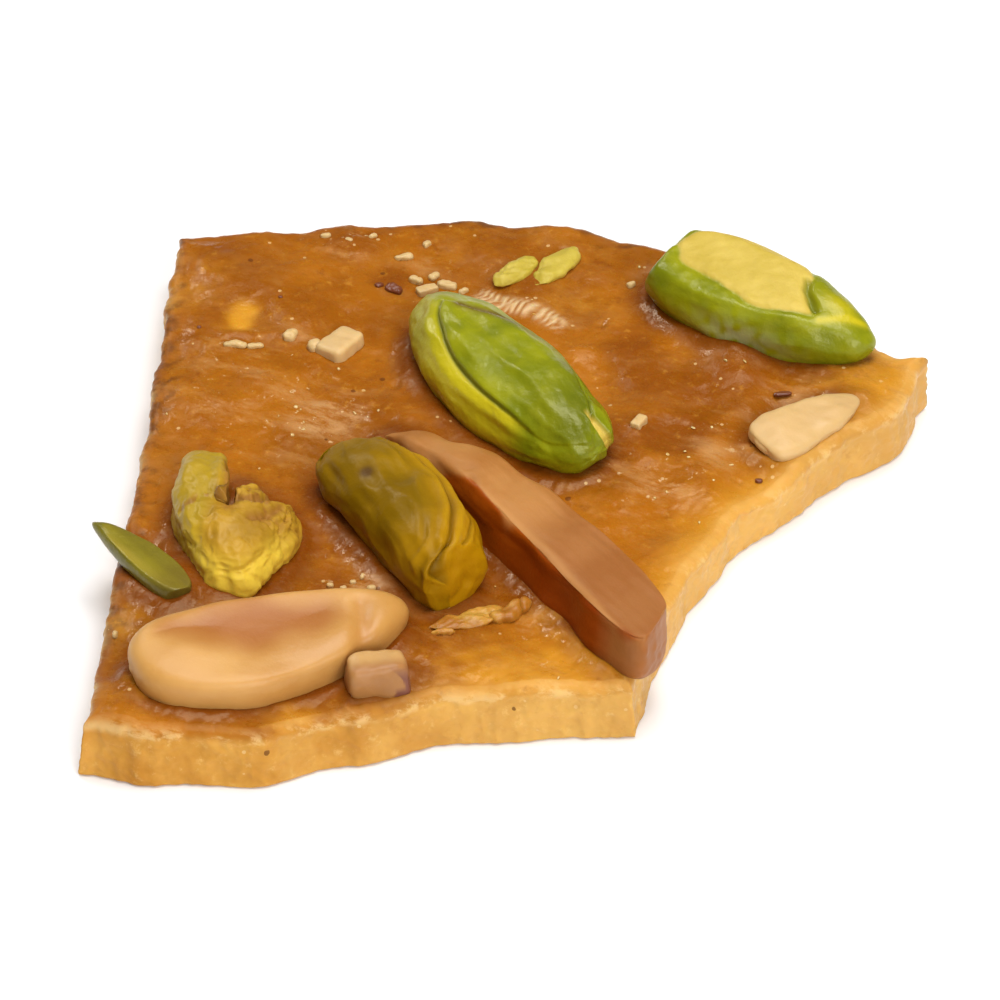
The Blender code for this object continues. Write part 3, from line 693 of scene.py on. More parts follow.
def sliced_kernel(material):
    """A kernel sliced flat along its top and blunt at its left end, with a short notch near its tip."""
    rings = kernel(CORNER_SIZE, **CORNER_FORM)
    veins = waves(rings * [0.4, 1, 1], 2.4, 0.06, 81) + waves(rings * [0.3, 1, 1], 0.8, 0.014, 82)
    rings = swell(rings, veins - np.abs(waves(rings * [0.3, 1, 1], 1.8, 0.035, 85)) - 0.04)
    rings, past_top = shave(rings, (-0.04, -0.06, 1), 1.9, 0.12)
    rings, _ = shave(rings, (-1, 0.1, 0.35), 5.6, 0.16)
    x, y, z = np.moveaxis(rings, -1, 0)
    flesh = [(-5.3, 0.4), (-4.3, -0.8), (-2.6, -1.15), (-0.7, -1.5), (0.3, -1.85), (1.5, -1.75), (2.8, -1.35)]
    flesh += [(3.9, -0.8), (3.2, 0.0), (2.8, 0.8), (2.6, 1.8), (1.2, 3.0), (-1.6, 3.2), (-3.4, 2.6), (-4.8, 1.7)]
    inside = within(x, y, flesh)
    notch = crease(x, y, [(2.5, 1.2), (2.8, 0.5), (3.9, -0.4)], 0.20) * step(z, 0.8, 1.5)
    lobe = bump(np.hypot((x - 4.9) / 1.5, (y - 0.6) / 1.0), 0.0, 0.8) * step(z, 0.6, 1.4)
    edge = crease(x, y, [(4.4, -0.9), (5.6, 0.2), (6.6, 0.7)], 0.22) * step(z, 0.4, 1.2)
    crumbly = 0.015 * waves(rings, 0.9, 1.0, 83) * step(past_top, 0, 1)
    border = 0.10 * bump(inside, 0.0, 0.2) * step(z, 1.0, 1.5)
    rings = swell(rings, crumbly - 0.32 * notch - border + 0.05 * lobe)
    cut = step(inside + waves(rings, 1.3, 0.05, 84), -0.05, 0.16) * step(z, 0.9, 1.35) * (1 - 0.75 * notch)
    patchy = step(waves(rings, 0.9, 1.0, 86), -1.3, 0.5)
    masks = {
        "rim": np.clip(0.75 * lobe + 0.9 * edge, 0, 1) * (1 - cut),
        # painted shade: the notch is darkened
        "seam": 0.7 * notch,
        # a painted pale sheen on the near side, broken into patches
        "side_sheen": bump(x, 0.5, 2.3) * bump(z, 0.0, 0.9) * step(-y, 1.0, 2.2) * patchy,
        "cut": cut,
        "shade": 0.15 * step(-z + 0.15 * x, 0.2, 2.2),
    }
    name, slot = "pistachio_sliced_kernel", "pistachio"
    nut(name, rings, CORNER_AT, CORNER_TURN, material, slot, "pistachio_corner", masks)


def olive_kernel(material):
    """A kernel with a square far tip, its right half in lengthwise folds that turn in at the near end.

    Its lines are drawn on its skin laid flat, as those of the split kernel are."""
    rings = kernel(OLIVE_SIZE, **{**OLIVE_FORM, "blunt": (2.7, 4.4), "slim": 0.10})
    rings, _ = shave(rings, (-0.9, 0.45, 0.1), 5.2, 0.15)
    rings, _ = shave(rings, (1, 0.10, 0.12), 6.35, 0.22)
    rings, _ = shave(rings, (0.10, -0.985, -0.14), 2.8, 0.6)
    x, round_it = unrolled(OLIVE_SIZE)
    t = round_it * OLIVE_ROUND
    first = [(-3.6, -2.2), (-1.5, -2.3), (0.6, -2.1), (2.4, -1.7), (4.3, -0.9), (5.8, -0.1)]
    first += [(6.5, 0.6), (6.7, 2.4)]
    second = [(-1.0, -3.3), (1.4, -3.2), (3.4, -2.7), (5.0, -2.0), (6.1, -1.4)]
    third = [(-4.2, -1.2), (-1.8, -1.0), (0.8, -0.6), (3.0, 0.1), (4.6, 1.0)]
    first_far = line_distance(x, t, smooth_edge(first, 50))
    creases = bump(first_far, 0, 0.16) + 0.7 * crease(x, t, smooth_edge(second, 40), 0.15)
    creases = creases + 0.30 * crease(x, t, smooth_edge(third, 40), 0.25)
    pleats = 0.5 - 0.5 * np.cos(2 * np.pi * first_far / (0.95 + waves(rings, 4.0, 0.06, 94)))
    pleats = pleats * step(x, -4.2, -2.2) * (1 - step(x, 5.6, 6.3)) * (1 - step(first_far, 1.5, 2.6))
    right_of_first = step(-(t + 1.6 - 0.16 * (x + 2) * step(x, -2.0, -1.0)), -0.5, 0.5)
    wrinkles = waves(rings * [0.30, 1, 1], 1.0, 0.02, 91) + waves(rings, 3.2, 0.06, 92)
    near_lip = bump(x, 6.0, 0.35) * step(t, -1.0, 0.6) * (1 - step(t, 3.4, 4.6))
    cx, cy, cz = np.moveaxis(rings, -1, 0)
    corner = step(-cx, 4.6, 6.2) * step(-cy, -1.2, 1.6)
    folded = -0.22 * creases + 0.07 * pleats - 0.04 + 0.05 * bump(first_far, 0.55, 0.3) - 0.16 * near_lip - 0.12
    folded = folded - 0.16 * corner * step(cz, 0, 1) - np.abs(waves(rings * [0.4, 1, 1], 1.8, 0.05, 93))
    rings = swell(rings, wrinkles + folded)
    masks = {
        # golden: partly syrup, partly a painted highlight on the right side and near end
        "gold": np.clip(0.65 * step(-t + 0.22 * x, 0.1, 2.6) + 0.50 * step(x, 2.0, 5.5), 0, 1),
        # painted shade in the creases
        "fold": np.clip(creases + 0.5 * near_lip, 0, 1),
        "stain": np.clip(1.6 * bump(np.hypot(x + 1.9, t - 1.3), 0.0, 0.36), 0, 1),
        # painted highlight on the raised fold lips and pleat crests
        "lip": np.clip(bump(first_far, 0.45, 0.25) * right_of_first + 0.45 * pleats, 0, 1),
    }
    name, slot = "pistachio_olive_kernel", "pistachio_syruped"
    nut(name, rings, OLIVE_AT, OLIVE_TURN, material, slot, "pistachio_olive", masks)


BROKEN_MIDDLE = np.array([-0.35, -0.9])
BROKEN_OUTLINE = [
    (3.6, -0.2), (3.5, 0.6), (2.85, 0.8), (2.3, 0.95), (1.8, 1.7), (1.05, 2.35), (0.35, 2.05), (0.0, 1.3),
    (-0.2, 0.7), (-0.42, 1.3), (-0.52, 3.0), (-0.6, 4.5), (-1.1, 4.85), (-1.9, 4.95), (-2.7, 4.8), (-3.0, 4.2),
    (-3.15, 2.8), (-3.3, 1.0), (-3.1, -0.7), (-2.4, -2.4), (-1.7, -4.0), (-0.9, -4.95), (0.3, -5.3), (1.2, -4.9),
    (2.0, -3.9), (2.8, -2.5), (3.4, -1.2),
]


def broken_kernel(material):
    """A broken kernel: a smooth upright finger on the left, a cleft, and a crumbled lobe with scraps of skin.

    Its rings are its outline, drawn in towards its middle and set up and down by a superellipse."""
    around = smooth_edge([*BROKEN_OUTLINE, BROKEN_OUTLINE[0]], BROKEN_COLUMNS + 1)[:-1] - BROKEN_MIDDLE
    climb = np.linspace(-np.pi / 2, np.pi / 2, CHUNK_ROWS)[:, None]
    out = np.cos(climb).clip(0) ** (2 / BROKEN_SQUARE)
    out[[0, -1]] = 0
    up = signed_power(np.sin(climb), 2 / BROKEN_SQUARE) * BROKEN_SIZE[2] / 2
    rings = np.dstack([BROKEN_MIDDLE + out[..., None] * around, up + np.zeros(BROKEN_COLUMNS)])
    x, y, z = np.moveaxis(rings, -1, 0)
    lobe = step(x + 0.12 * y, -0.5, 0.5)
    lumps = np.abs(waves(rings, 2.4, 0.34, 101)) + np.abs(waves(rings, 1.1, 0.20, 102))
    crumble = 0.5 * (0.42 - lumps.clip(0, 0.42)) + waves(rings, 0.5, 0.02, 107)
    crumble = crumble * (1 - 0.4 * step(-y, 1.5, 4.0))
    valley = crease(x, y, [(-0.3, 0.5), (-0.3, -0.9)], 0.34) * step(z, 0.0, 1.0)
    branch = crease(x, y, [(-0.2, 0.1), (1.0, -0.1), (1.8, 0.5)], 0.30) * step(z, 0.0, 1.0)
    branch = np.maximum(branch, crease(x, y, [(0.9, -1.6), (1.9, -1.1), (2.6, -0.2)], 0.26))
    cleft = step(-np.abs(x + 0.25), -0.5, -0.15) * step(y, -0.2, 0.5)
    finger_grain = waves(rings * [1, 0.5, 1], 0.9, 0.03, 103) + waves(rings, 2.0, 0.06, 104)
    finger_grain = finger_grain - np.abs(waves(rings, 0.8, 0.03, 109))
    slope = 0.25 * step(x, 0.0, 3.0) * step(z, -0.5, 1.0) + 0.35 * step(-y, 1.5, 5.0) * step(z, -0.5, 1.0)
    tall = step(-x, 0.5, 0.9) * step(z, 0.0, 1.5) * step(y, -1.0, 3.0)
    rings = swell(rings, finger_grain + 0.2 * tall - lobe * crumble - 0.5 * valley - 0.25 * branch - slope)
    x, y, z = np.moveaxis(rings, -1, 0)
    seam = crease(x, y, [(-3.2, -0.8), (-2.0, 0.0), (-0.4, 0.2)], 0.32) * step(z, 0.0, 1.0)
    scraps = 0.9 * step(waves(rings, 1.5, 1.0, 105) + 0.6 * waves(rings, 0.6, 1.0, 106), 0.5, 0.9)
    scraps = np.maximum(scraps, step(crumble, 0.12, 0.18)) * (1 - 0.7 * step(x, 2.2, 3.1))
    flecks = step(waves(rings, 0.9, 1.0, 108), 0.0, 0.8)
    left_skin = lobe * step(y, -2.6, -0.8) * scraps + 0.9 * valley + branch + cleft + 1.2 * seam * flecks
    masks = {
        "rough": lobe,
        "skin": np.clip(left_skin, 0, 1),
        "tall": step(-x + 0.25 * y, 0.6, 1.8),
        # painted light: the near lower side is painted lighter
        "shade": step(-y, 0.8, 3.4) * (1 - step(z, 0.3, 1.7)),
    }
    name, slot = "pistachio_broken_kernel", "pistachio_broken"
    nut(name, rings, BROKEN_AT, BROKEN_TURN, material, slot, "pistachio_broken", masks)


def kernel_sliver(material):
    """A thin sliver with a keen tip that reaches out past the left rim."""
    rings = kernel(SLIVER_SIZE, **SLIVER_FORM, rows=SLIVER_ROWS, columns=SLIVER_COLUMNS)
    rings, past = shave(rings, (0.0, 0.45, 1.0), 0.42, 0.06)
    rings, _ = shave(rings, (1.0, -0.35, 0.0), 3.55, 0.08)
    rings = swell(rings, waves(rings * [0.4, 1, 1], 1.0, 0.02, 111))
    x, y = rings[..., 0], rings[..., 1]
    facet = step(past, 0.0, 1.5)
    masks = {
        "rim": 0.32 * facet,
        "seam": 0.5 * step(y, 0.15, 0.6),
        "skin": 0.56 + 0.16 * step(x, 0.5, 3.4),
        "cut": 0.32 * facet * bump(x, -0.6, 2.4) * step(-y, -0.15, 0.3),
        "shade": 0.35 - 0.2 * facet,
    }
    name, slot = "pistachio_sliver_kernel", "pistachio"
    nut(name, rings, SLIVER_AT, SLIVER_TURN, material, slot, "pistachio_sliver", masks)


def halved_almond(material):
    """A half kernel, its cut face dished behind a rounded ridge, with a notch at its right end."""
    rings = kernel(HALF_SIZE, **HALF_FORM)
    rings, _ = shave(rings, (0, -0.05, 1), 1.5, 0.30)
    x, y, z = np.moveaxis(rings, -1, 0)
    dish_line = [(-5.9, 0.9), (-4.7, 0.0), (-3.3, -0.9), (-1.2, -1.6), (0.6, -1.65), (2.0, -1.5), (3.2, -0.9)]
    dish_line += [(3.9, -0.1), (3.6, 0.9), (2.2, 1.6), (-0.4, 2.2), (-3.2, 2.3), (-5.2, 1.7)]
    inside = within(x, y, dish_line)
    upward = step(z, 0.2, 1.0)
    dish = 0.40 * step(inside, -0.9, 1.8) * upward
    notch = crease(x, y, [(3.9, -3.8), (4.5, -1.8), (5.0, 0.0)], 0.55) * step(z, -1.8, 0.4)
    swelling = waves(rings, 5.0, 0.07, 121) + waves(rings * [0.4, 1, 1], 1.6, 0.014, 122)
    rings = swell(rings, swelling - dish - 0.26 * notch - 0.05)
    masks = {
        "face": step(inside + waves(rings, 2.4, 0.20, 123), -0.8, 1.5) * upward,
        # painted shade: the notch a little darker
        "notch": notch,
        "shade": step(-z, -0.6, 1.6),
    }
    nut("almond_half_kernel", rings, HALF_AT, HALF_TURN, material, "almond", "almond_half", masks)


def almond_chip(material):
    """A cut chip beside the half, with flat sides and a scrap of skin at its right end."""
    rings = kernel(CHIP_CUT_SIZE, **CHIP_CUT_FORM, rows=SMALL_ROWS, columns=SMALL_COLUMNS)
    x, y, z = np.moveaxis(rings, -1, 0)
    rings = swell(rings, waves(rings, 2.2, 0.05, 131) + waves(rings, 0.7, 0.015, 132) - 0.04)
    scrap = step(x + 0.5 * waves(rings, 0.9, 1.0, 133), 0.9, 1.3)
    top = step(z, 0.9, 1.4) * step(y, -0.7, 0.3)
    masks = {
        "face": 0.08,
        "skin": scrap * step(-z, -1.6, -0.2) * step(-y, -0.6, 0.4),
        "shade": 0.1,
        # painted light and shade: the pinkish front darker, the top lighter
        "pink_shaded_front": 0.90 - 0.75 * top,
        "white": 0.45 * top,
    }
    rings = rings - CHIP_CUT_SHIFT
    nut("almond_chip_cut", rings, CHIP_AT, CHIP_TURN, material, "almond", "almond_chip", masks)


def almond_stick(material):
    """A long slice on its edge: a narrow cut face on top, and a browned side in long shallow scallops.

    across is how far each point lies from the bowed middle line, as a share of the half width there."""
    rings = kernel(STICK_SIZE, **STICK_FORM)
    u = rings[..., 0] / (STICK_SIZE[0] / 2)
    half_width = (1 - STICK_FORM["slim"] * (u + 1) / 2) * STICK_SIZE[1] / 2
    across = (rings[..., 1] - STICK_FORM["bow"] * (1 - u**2)) / half_width
    rings, past = shave(rings, (0.08, -0.10, 1), 2.20, 0.10)
    rings, _ = shave(rings, (0.86, 0.50, 0.0), 10.3, 0.12)
    rings, slanted = shave(rings, (0.13, -0.80, 0.58), 3.35, 0.14)
    x, z = rings[..., 0], rings[..., 2]
    ledge = waves(rings * [0.35, 0, 0], 1.0, 0.05, 144)
    side_on = step(-across + ledge, 0.76, 0.88) * (1 - step(past, -0.5, 1.0))
    browned = np.maximum(side_on, step(slanted + waves(rings * [0.5, 1, 1], 2.0, 1.6, 145), -2.5, 1.0))
    near_end = step(x - 0.4 * z, 11.8, 12.3)
    chips = np.abs(waves(rings * [0.6, 1, 1], 1.3, 0.04, 141)) * bump(past, 0.0, 1.5)
    grain_of_side = waves(rings * [0.18, 1, 1], 0.7, 0.02, 142) + waves(rings, 4.0, 0.07, 143)
    scallops = 0.12 * bump(z, 0.4, 1.0) * step(-across, 0.7, 0.95)
    rings = swell(rings, grain_of_side - chips - scallops - 0.04)
    masks = {
        "browned": browned * (1 - 0.4 * near_end) * step(x, -11.5, -6.0),
        # painted highlight along the ridge of the cut face
        "edge": bump(across, -0.80, 0.10) * step(past, 0.0, 1.0),
        "near": 0.85 * step(x, -1.0, 4.0) + 0.15 * step(x, 4.0, 11.0),
    }
    name, slot = "almond_stick_cut", "almond_roasted"
    nut(name, rings, STICK_AT, STICK_TURN, material, slot, "almond_stick", masks)


def almond_slice(material):
    """A thin pale slice with straight ends, lying flat near the right corner."""
    rings = kernel(SLICE_SIZE, **SLICE_FORM, rows=SMALL_ROWS, columns=SMALL_COLUMNS)
    rings = swell(rings, waves(rings, 2.5, 0.05, 151) + waves(rings, 0.9, 0.015, 152) - 0.03)
    x, y, z = np.moveaxis(rings, -1, 0)
    masks = {
        "face": 0.30 * step(x, 0.8, 3.0),
        "shade": 0.8 * step(-z - 0.2 * y, -0.3, 0.5),
        "white": 0.85,
    }
    nut("almond_slice_cut", rings, SLICE_AT, SLICE_TURN, material, "almond", "almond_slice", masks)


# ---------------------------------------------------------------- crumbs on the top

# Size along, across and up, place of the middle, and heading in degrees
FLAKES = [
    ((3.2, 1.6, 0.7), (0.2, 17.1), 46),
    ((4.0, 1.7, 0.7), (2.45, 17.6), 56),
]
CUBES = [
    ((2.5, 1.9, 1.1), (-9.3, 10.7), 52),
    ((1.2, 0.7, 0.5), (-4.6, 15.7), 25),
    # a pale crumb that stands in for the glint on the pit's rim: a painted highlight
    ((1.0, 0.65, 0.7), (6.9, 3.8), 60),
]
# The first four, along the fold, are pale crumbs that stand in for glints there: a painted highlight
PALE_BITS = [
    ((0.8, 0.7, 0.6), (-10.7, 10.6), 20),
    ((0.9, 0.7, 0.6), (-12.0, 11.5), 70),
    ((1.3, 0.5, 0.4), (-15.0, 10.7), -6),
    ((0.9, 0.35, 0.35), (-13.9, 10.7), 10),
    ((1.0, 0.45, 0.4), (-5.9, 18.6), 8),
    ((0.5, 0.4, 0.4), (-4.6, 19.7), 40),
    ((0.8, 0.5, 0.5), (-5.2, 16.5), -30),
    ((1.1, 0.6, 0.5), (-3.5, 16.1), -15),
    ((0.7, 0.5, 0.4), (-4.2, 16.9), 50),
    ((0.6, 0.35, 0.4), (-2.6, 15.6), 30),
    ((0.5, 0.4, 0.4), (6.6, 16.4), 30),
    ((0.6, 0.3, 0.3), (-10.2, 20.3), 12),
    ((0.5, 0.35, 0.3), (-8.9, 19.9), -20),
    ((0.5, 0.3, 0.3), (-7.6, 20.4), 35),
    ((0.5, 0.3, 0.4), (-20.9, -13.4), 80),
    ((0.5, 0.35, 0.35), (-7.4, -10.1), 20),
    ((0.35, 0.3, 0.3), (-9.6, -9.6), 0),
    ((0.4, 0.3, 0.3), (-8.9, -10.0), 40),
    ((0.3, 0.3, 0.25), (-8.4, -9.4), 10),
    ((0.35, 0.25, 0.3), (-7.9, -9.0), 70),
]
TAN_BITS = [
    ((3.6, 1.3, 0.5), (-2.6, -12.9), 14),
    ((3.0, 1.0, 0.5), (-1.8, -12.3), 24),
    ((2.1, 1.1, 0.9), (-0.2, -12.0), 40),
    ((0.9, 0.7, 0.8), (0.6, -11.5), 70),
    ((1.3, 0.4, 0.4), (-3.6, -13.8), 4),
]
DARK_BITS = [
    ((1.0, 0.7, 0.4), (-6.4, 15.8), -30),
    ((0.5, 0.4, 0.3), (-7.2, 16.1), 20),
    ((0.40, 0.30, 0.25), (13.3, -0.3), 0),
    ((1.0, 0.35, 0.25), (14.7, 6.6), 8),
    ((0.25, 0.22, 0.2), (-12.6, 14.6), 0),
    ((0.25, 0.22, 0.2), (-17.0, 12.2), 0),
]
FLAKE_FORM = dict(blunt=(1.7, 2.4), square=2.2, slim=0.1, low=0.0)
BOX_FORM = dict(blunt=(5.5, 6.5), square=5.0, slim=0.14, low=0.1)
BIT_FORM = dict(blunt=(2.6, 3.0), square=2.8, slim=0.1, low=0.1)
CRUMB_LIFT = 0.15  # how far above the top a crumb's middle lies, as a share of its height
MOST_TILT = 8.0
SUGAR_GRAINS, SUGAR_TRIES = 40, 9000
SUGAR_SIZE = 0.11


def joined(parts):
    """Several closed skins as one set of arrays."""
    count, vertices, quads, caps, masks = 0, [], [], [], {}
    for points, four, three, flat in parts:
        vertices.append(points)
        quads.append(four + count)
        caps.append(three + count)
        for name, values in flat.items():
            masks.setdefault(name, []).append(values)
        count += len(points)
    flat = {name: np.concatenate(values) for name, values in masks.items()}
    return np.concatenate(vertices), np.concatenate(quads), np.concatenate(caps), flat


def crumb(size, at, turn, form, seed, masks, rough, rows=CRUMB_ROWS, columns=CRUMB_COLUMNS):
    """One crumb sunk a little into the top, roughened by waves as deep as a share of its least side."""
    rings = kernel(size, **form, rows=rows, columns=columns)
    small = min(size)
    coarse = waves(rings, 1.2 * small + 0.4, rough * small, seed)
    rings = swell(rings, coarse + waves(rings, 0.5 * small + 0.1, 0.4 * rough * small, seed + 1))
    level = float(top_height(np.array(at[0]), np.array(at[1]))) + CRUMB_LIFT * size[2]
    return skin(place(rings, (*at, level), turn), masks)


def crumbs(name, places, form, material, slot, seed, rough, **masks):
    """All crumbs of one kind as one piece."""
    tilts = np.random.default_rng(seed).uniform(-MOST_TILT, MOST_TILT, len(places))
    parts = [
        crumb(size, at, (tilts[k], 0, heading), form, seed + 2 * k, masks, rough)
        for k, (size, at, heading) in enumerate(places)
    ]
    finish_piece(to_mesh(name, *joined(parts), material), slot, "toffee_sheet")


def sugar_grains(material):
    """Tiny pale crystals scattered over the top, most of them where the skin is hazy."""
    draw = np.random.default_rng(201)
    at = draw.uniform(-22, 22, (SUGAR_TRIES, 2))
    x, y = at.T
    free = (within(x, y, outline(64)[::6]) > 0.9) & (nut_distance(x, y) > 0.4)
    likely = 0.02 + 0.45 * strength(x, y, HAZE_AND_SHEEN) ** 2 * step(waves(at, 3.5, 1.0, 202), 0.0, 1.2)
    chosen = at[free & (draw.uniform(0, 1, len(at)) < likely)][:SUGAR_GRAINS]
    parts = []
    for k, place_of in enumerate(chosen):
        size = SUGAR_SIZE * draw.uniform(0.4, 2.0, 3) * [1.4, 1.0, 0.8]
        masks = {"pale": draw.uniform(0, 1)}
        turn = (0, 0, draw.uniform(0, 180))
        parts.append(crumb(size, place_of, turn, BIT_FORM, 300 + k, masks, 0.1, GRAIN_ROWS, GRAIN_COLUMNS))
    finish_piece(to_mesh("sugar_grains", *joined(parts), material), "toffee", "toffee_sheet")


# ---------------------------------------------------------------- materials

# The two ends that a surface's own colour runs between, before its layers are laid over it
AMBER = (0.245, 0.064, 0.0022), (0.400, 0.126, 0.0056)
SAND = (0.47, 0.185, 0.014), (0.67, 0.335, 0.060)
GREEN_SKIN = (0.175, 0.195, 0.0025), (0.30, 0.30, 0.004)
YELLOW_FLESH = (0.52, 0.365, 0.043), (0.63, 0.455, 0.080)
SYRUPED_SKIN = (0.190, 0.100, 0.001), (0.285, 0.150, 0.002)
BROKEN_FLESH = (0.35, 0.180, 0.010), (0.49, 0.265, 0.020)
CREAM = (0.53, 0.258, 0.060), (0.62, 0.325, 0.088)
TAN_CUT = (0.37, 0.140, 0.028), (0.48, 0.210, 0.058)
BROWNED_SIDE = (0.28, 0.050, 0.0015), (0.39, 0.080, 0.0035)
BAKED = (0.38, 0.140, 0.010), (0.57, 0.28, 0.040)
SCORCHED = (0.11, 0.024, 0.008), (0.22, 0.060, 0.020)
SUGAR = (0.60, 0.30, 0.06), (0.78, 0.56, 0.26)
WHITE_TABLE = (0.93, 0.93, 0.935)
CRYSTALS_DOWN = 0.13  # where the line of crystals runs on the break, from 0 at the top to 1 at the foot


def fill(tree, socket, value):
    """Sets a socket to a value, or joins it to another socket."""
    if isinstance(value, bpy.types.NodeSocket):
        tree.links.new(value, socket)
    elif socket.type == "RGBA":
        socket.default_value = (*value, 1.0)
    else:
        socket.default_value = value


def add(tree, kind, sockets=None, **settings):
    """A node with its settings, and its sockets set to values or joined to other sockets."""
    made = tree.nodes.new(kind)
    for name, value in settings.items():
        setattr(made, name, value)
    for name, value in (sockets or {}).items():
        fill(tree, made.inputs[name], value)
    return made


def mask(tree, name):
    """A mask of the mesh as a socket, which is 0 on a mesh that has no such mask."""
    return add(tree, "ShaderNodeAttribute", attribute_name=name).outputs["Fac"]


def noise(tree, scale, detail=3.0, rough=0.55, stretch=None):
    """Noise over object coordinates, scale in turns for each metre.

    stretch draws it out this many times along a heading in degrees."""
    place_in = add(tree, "ShaderNodeTexCoord").outputs["Object"]
    if stretch:
        drawn_out, heading = (stretch[0], 1, 1), (0, 0, math.radians(stretch[1]))
        sockets = {"Vector": place_in, "Scale": drawn_out, "Rotation": heading}
        place_in = add(tree, "ShaderNodeMapping", sockets, vector_type="TEXTURE").outputs[0]
    sockets = {"Vector": place_in, "Scale": scale, "Detail": detail, "Roughness": rough}
    return add(tree, "ShaderNodeTexNoise", sockets).outputs["Fac"]


def spread(tree, value, low, high, to_low=0.0, to_high=1.0):
    """Value from low to high laid out smoothly from to_low to to_high."""
    sockets = {"Value": value, "From Min": low, "From Max": high, "To Min": to_low, "To Max": to_high}
    return add(tree, "ShaderNodeMapRange", sockets, interpolation_type="SMOOTHSTEP").outputs[0]


def arithmetic(tree, operation, a, b):
    """One operation on two numbers or sockets."""
    return add(tree, "ShaderNodeMath", {0: a, 1: b}, operation=operation).outputs[0]


def times(tree, first, *others):
    """Numbers and sockets multiplied together."""
    for other in others:
        first = arithmetic(tree, "MULTIPLY", first, other)
    return first


def tint(tree, factor, a, b):
    """Colour a with colour b laid over it by factor."""
    return add(tree, "ShaderNodeMix", {0: factor, 6: a, 7: b}, data_type="RGBA").outputs[2]


def between(tree, value, low, high, dark, light):
    """A colour that goes from dark to light as a value goes from low to high."""
    return tint(tree, spread(tree, value, low, high), dark, light)


def layered(tree, colour, *layers):
    """A colour with layers laid over it in turn.

    Each is a mask's name or a socket, the most that it covers, and its colour."""
    for cover, most, over in layers:
        cover = mask(tree, cover) if isinstance(cover, str) else cover
        colour = tint(tree, times(tree, cover, most), colour, over)
    return colour


def new_material(name):
    """An empty node material with its Principled shader."""
    material = bpy.data.materials.new(name)
    material.use_nodes = True
    return material, material.node_tree, material.node_tree.nodes["Principled BSDF"]


def set_shader(tree, shader, **values):
    """Sets the shader's own sockets, each named in small letters, to constants or other sockets."""
    for name, value in values.items():
        fill(tree, shader.inputs[name.replace("_", " ").title().replace("Ior", "IOR")], value)


def translucent(tree, shader, share, deep_mm, reach):
    """Lets a share of the light go this deep into the surface. reach is how far each colour goes, as a share."""
    values = dict(subsurface_weight=share, subsurface_scale=deep_mm * MM, subsurface_radius=reach)
    set_shader(tree, shader, **values)


def relief(tree, height, depth_mm):
    """A normal bent by a height field whose full height is depth_mm deep."""
    sockets = {"Height": height, "Distance": depth_mm * MM, "Strength": 1.0}
    return add(tree, "ShaderNodeBump", sockets).outputs[0]


def new_group(name, outputs, **starts):
    """An empty node group with number sockets, its input node and its output node."""
    tree = bpy.data.node_groups.new(name, "ShaderNodeTree")
    for socket, start in starts.items():
        made = tree.interface.new_socket(name=socket, in_out="INPUT", socket_type="NodeSocketFloat")
        made.default_value = start
    for socket in outputs:
        tree.interface.new_socket(name=socket, in_out="OUTPUT", socket_type="NodeSocketFloat")
    return tree, add(tree, "NodeGroupInput").outputs, add(tree, "NodeGroupOutput").inputs


def grain_group():
    """Grain: a fine height and a soft mottle over object coordinates, for every surface of the shard."""
    tree, incoming, outgoing = new_group("grain", ("Height", "Mottle"), Scale=1500.0, Mottling=260.0)
    fill(tree, outgoing["Height"], noise(tree, incoming["Scale"], 4.0, 0.6))
    fill(tree, outgoing["Mottle"], noise(tree, incoming["Mottling"], 3.0, 0.5))


def speck_group():
    """Specks: small round marks at random places, of which only a share is kept."""
    tree, incoming, outgoing = new_group("specks", ("Mask",), Scale=600.0, Size=0.2, Share=0.3)
    at = add(tree, "ShaderNodeTexCoord").outputs["Object"]
    cells = add(tree, "ShaderNodeTexVoronoi", {"Vector": at, "Scale": incoming["Scale"]})
    dot = arithmetic(tree, "LESS_THAN", cells.outputs["Distance"], incoming["Size"])
    parts = add(tree, "ShaderNodeSeparateColor", {"Color": cells.outputs["Color"]})
    kept = arithmetic(tree, "LESS_THAN", parts.outputs[0], incoming["Share"])
    fill(tree, outgoing["Mask"], times(tree, dot, kept))


def from_group(tree, name, **values):
    """The outputs of a node group with its sockets set to these values."""
    made = add(tree, "ShaderNodeGroup", node_tree=bpy.data.node_groups[name])
    for socket, value in values.items():
        made.inputs[socket].default_value = value
    return made.outputs


def grain(tree, scale, mottling):
    """The grain group's height and mottle at these scales."""
    made = from_group(tree, "grain", Scale=scale, Mottling=mottling)
    return made["Height"], made["Mottle"]


def specks(tree, scale, size, share):
    """The speck group's mask at this scale, size and share."""
    return from_group(tree, "specks", Scale=scale, Size=size, Share=share)["Mask"]


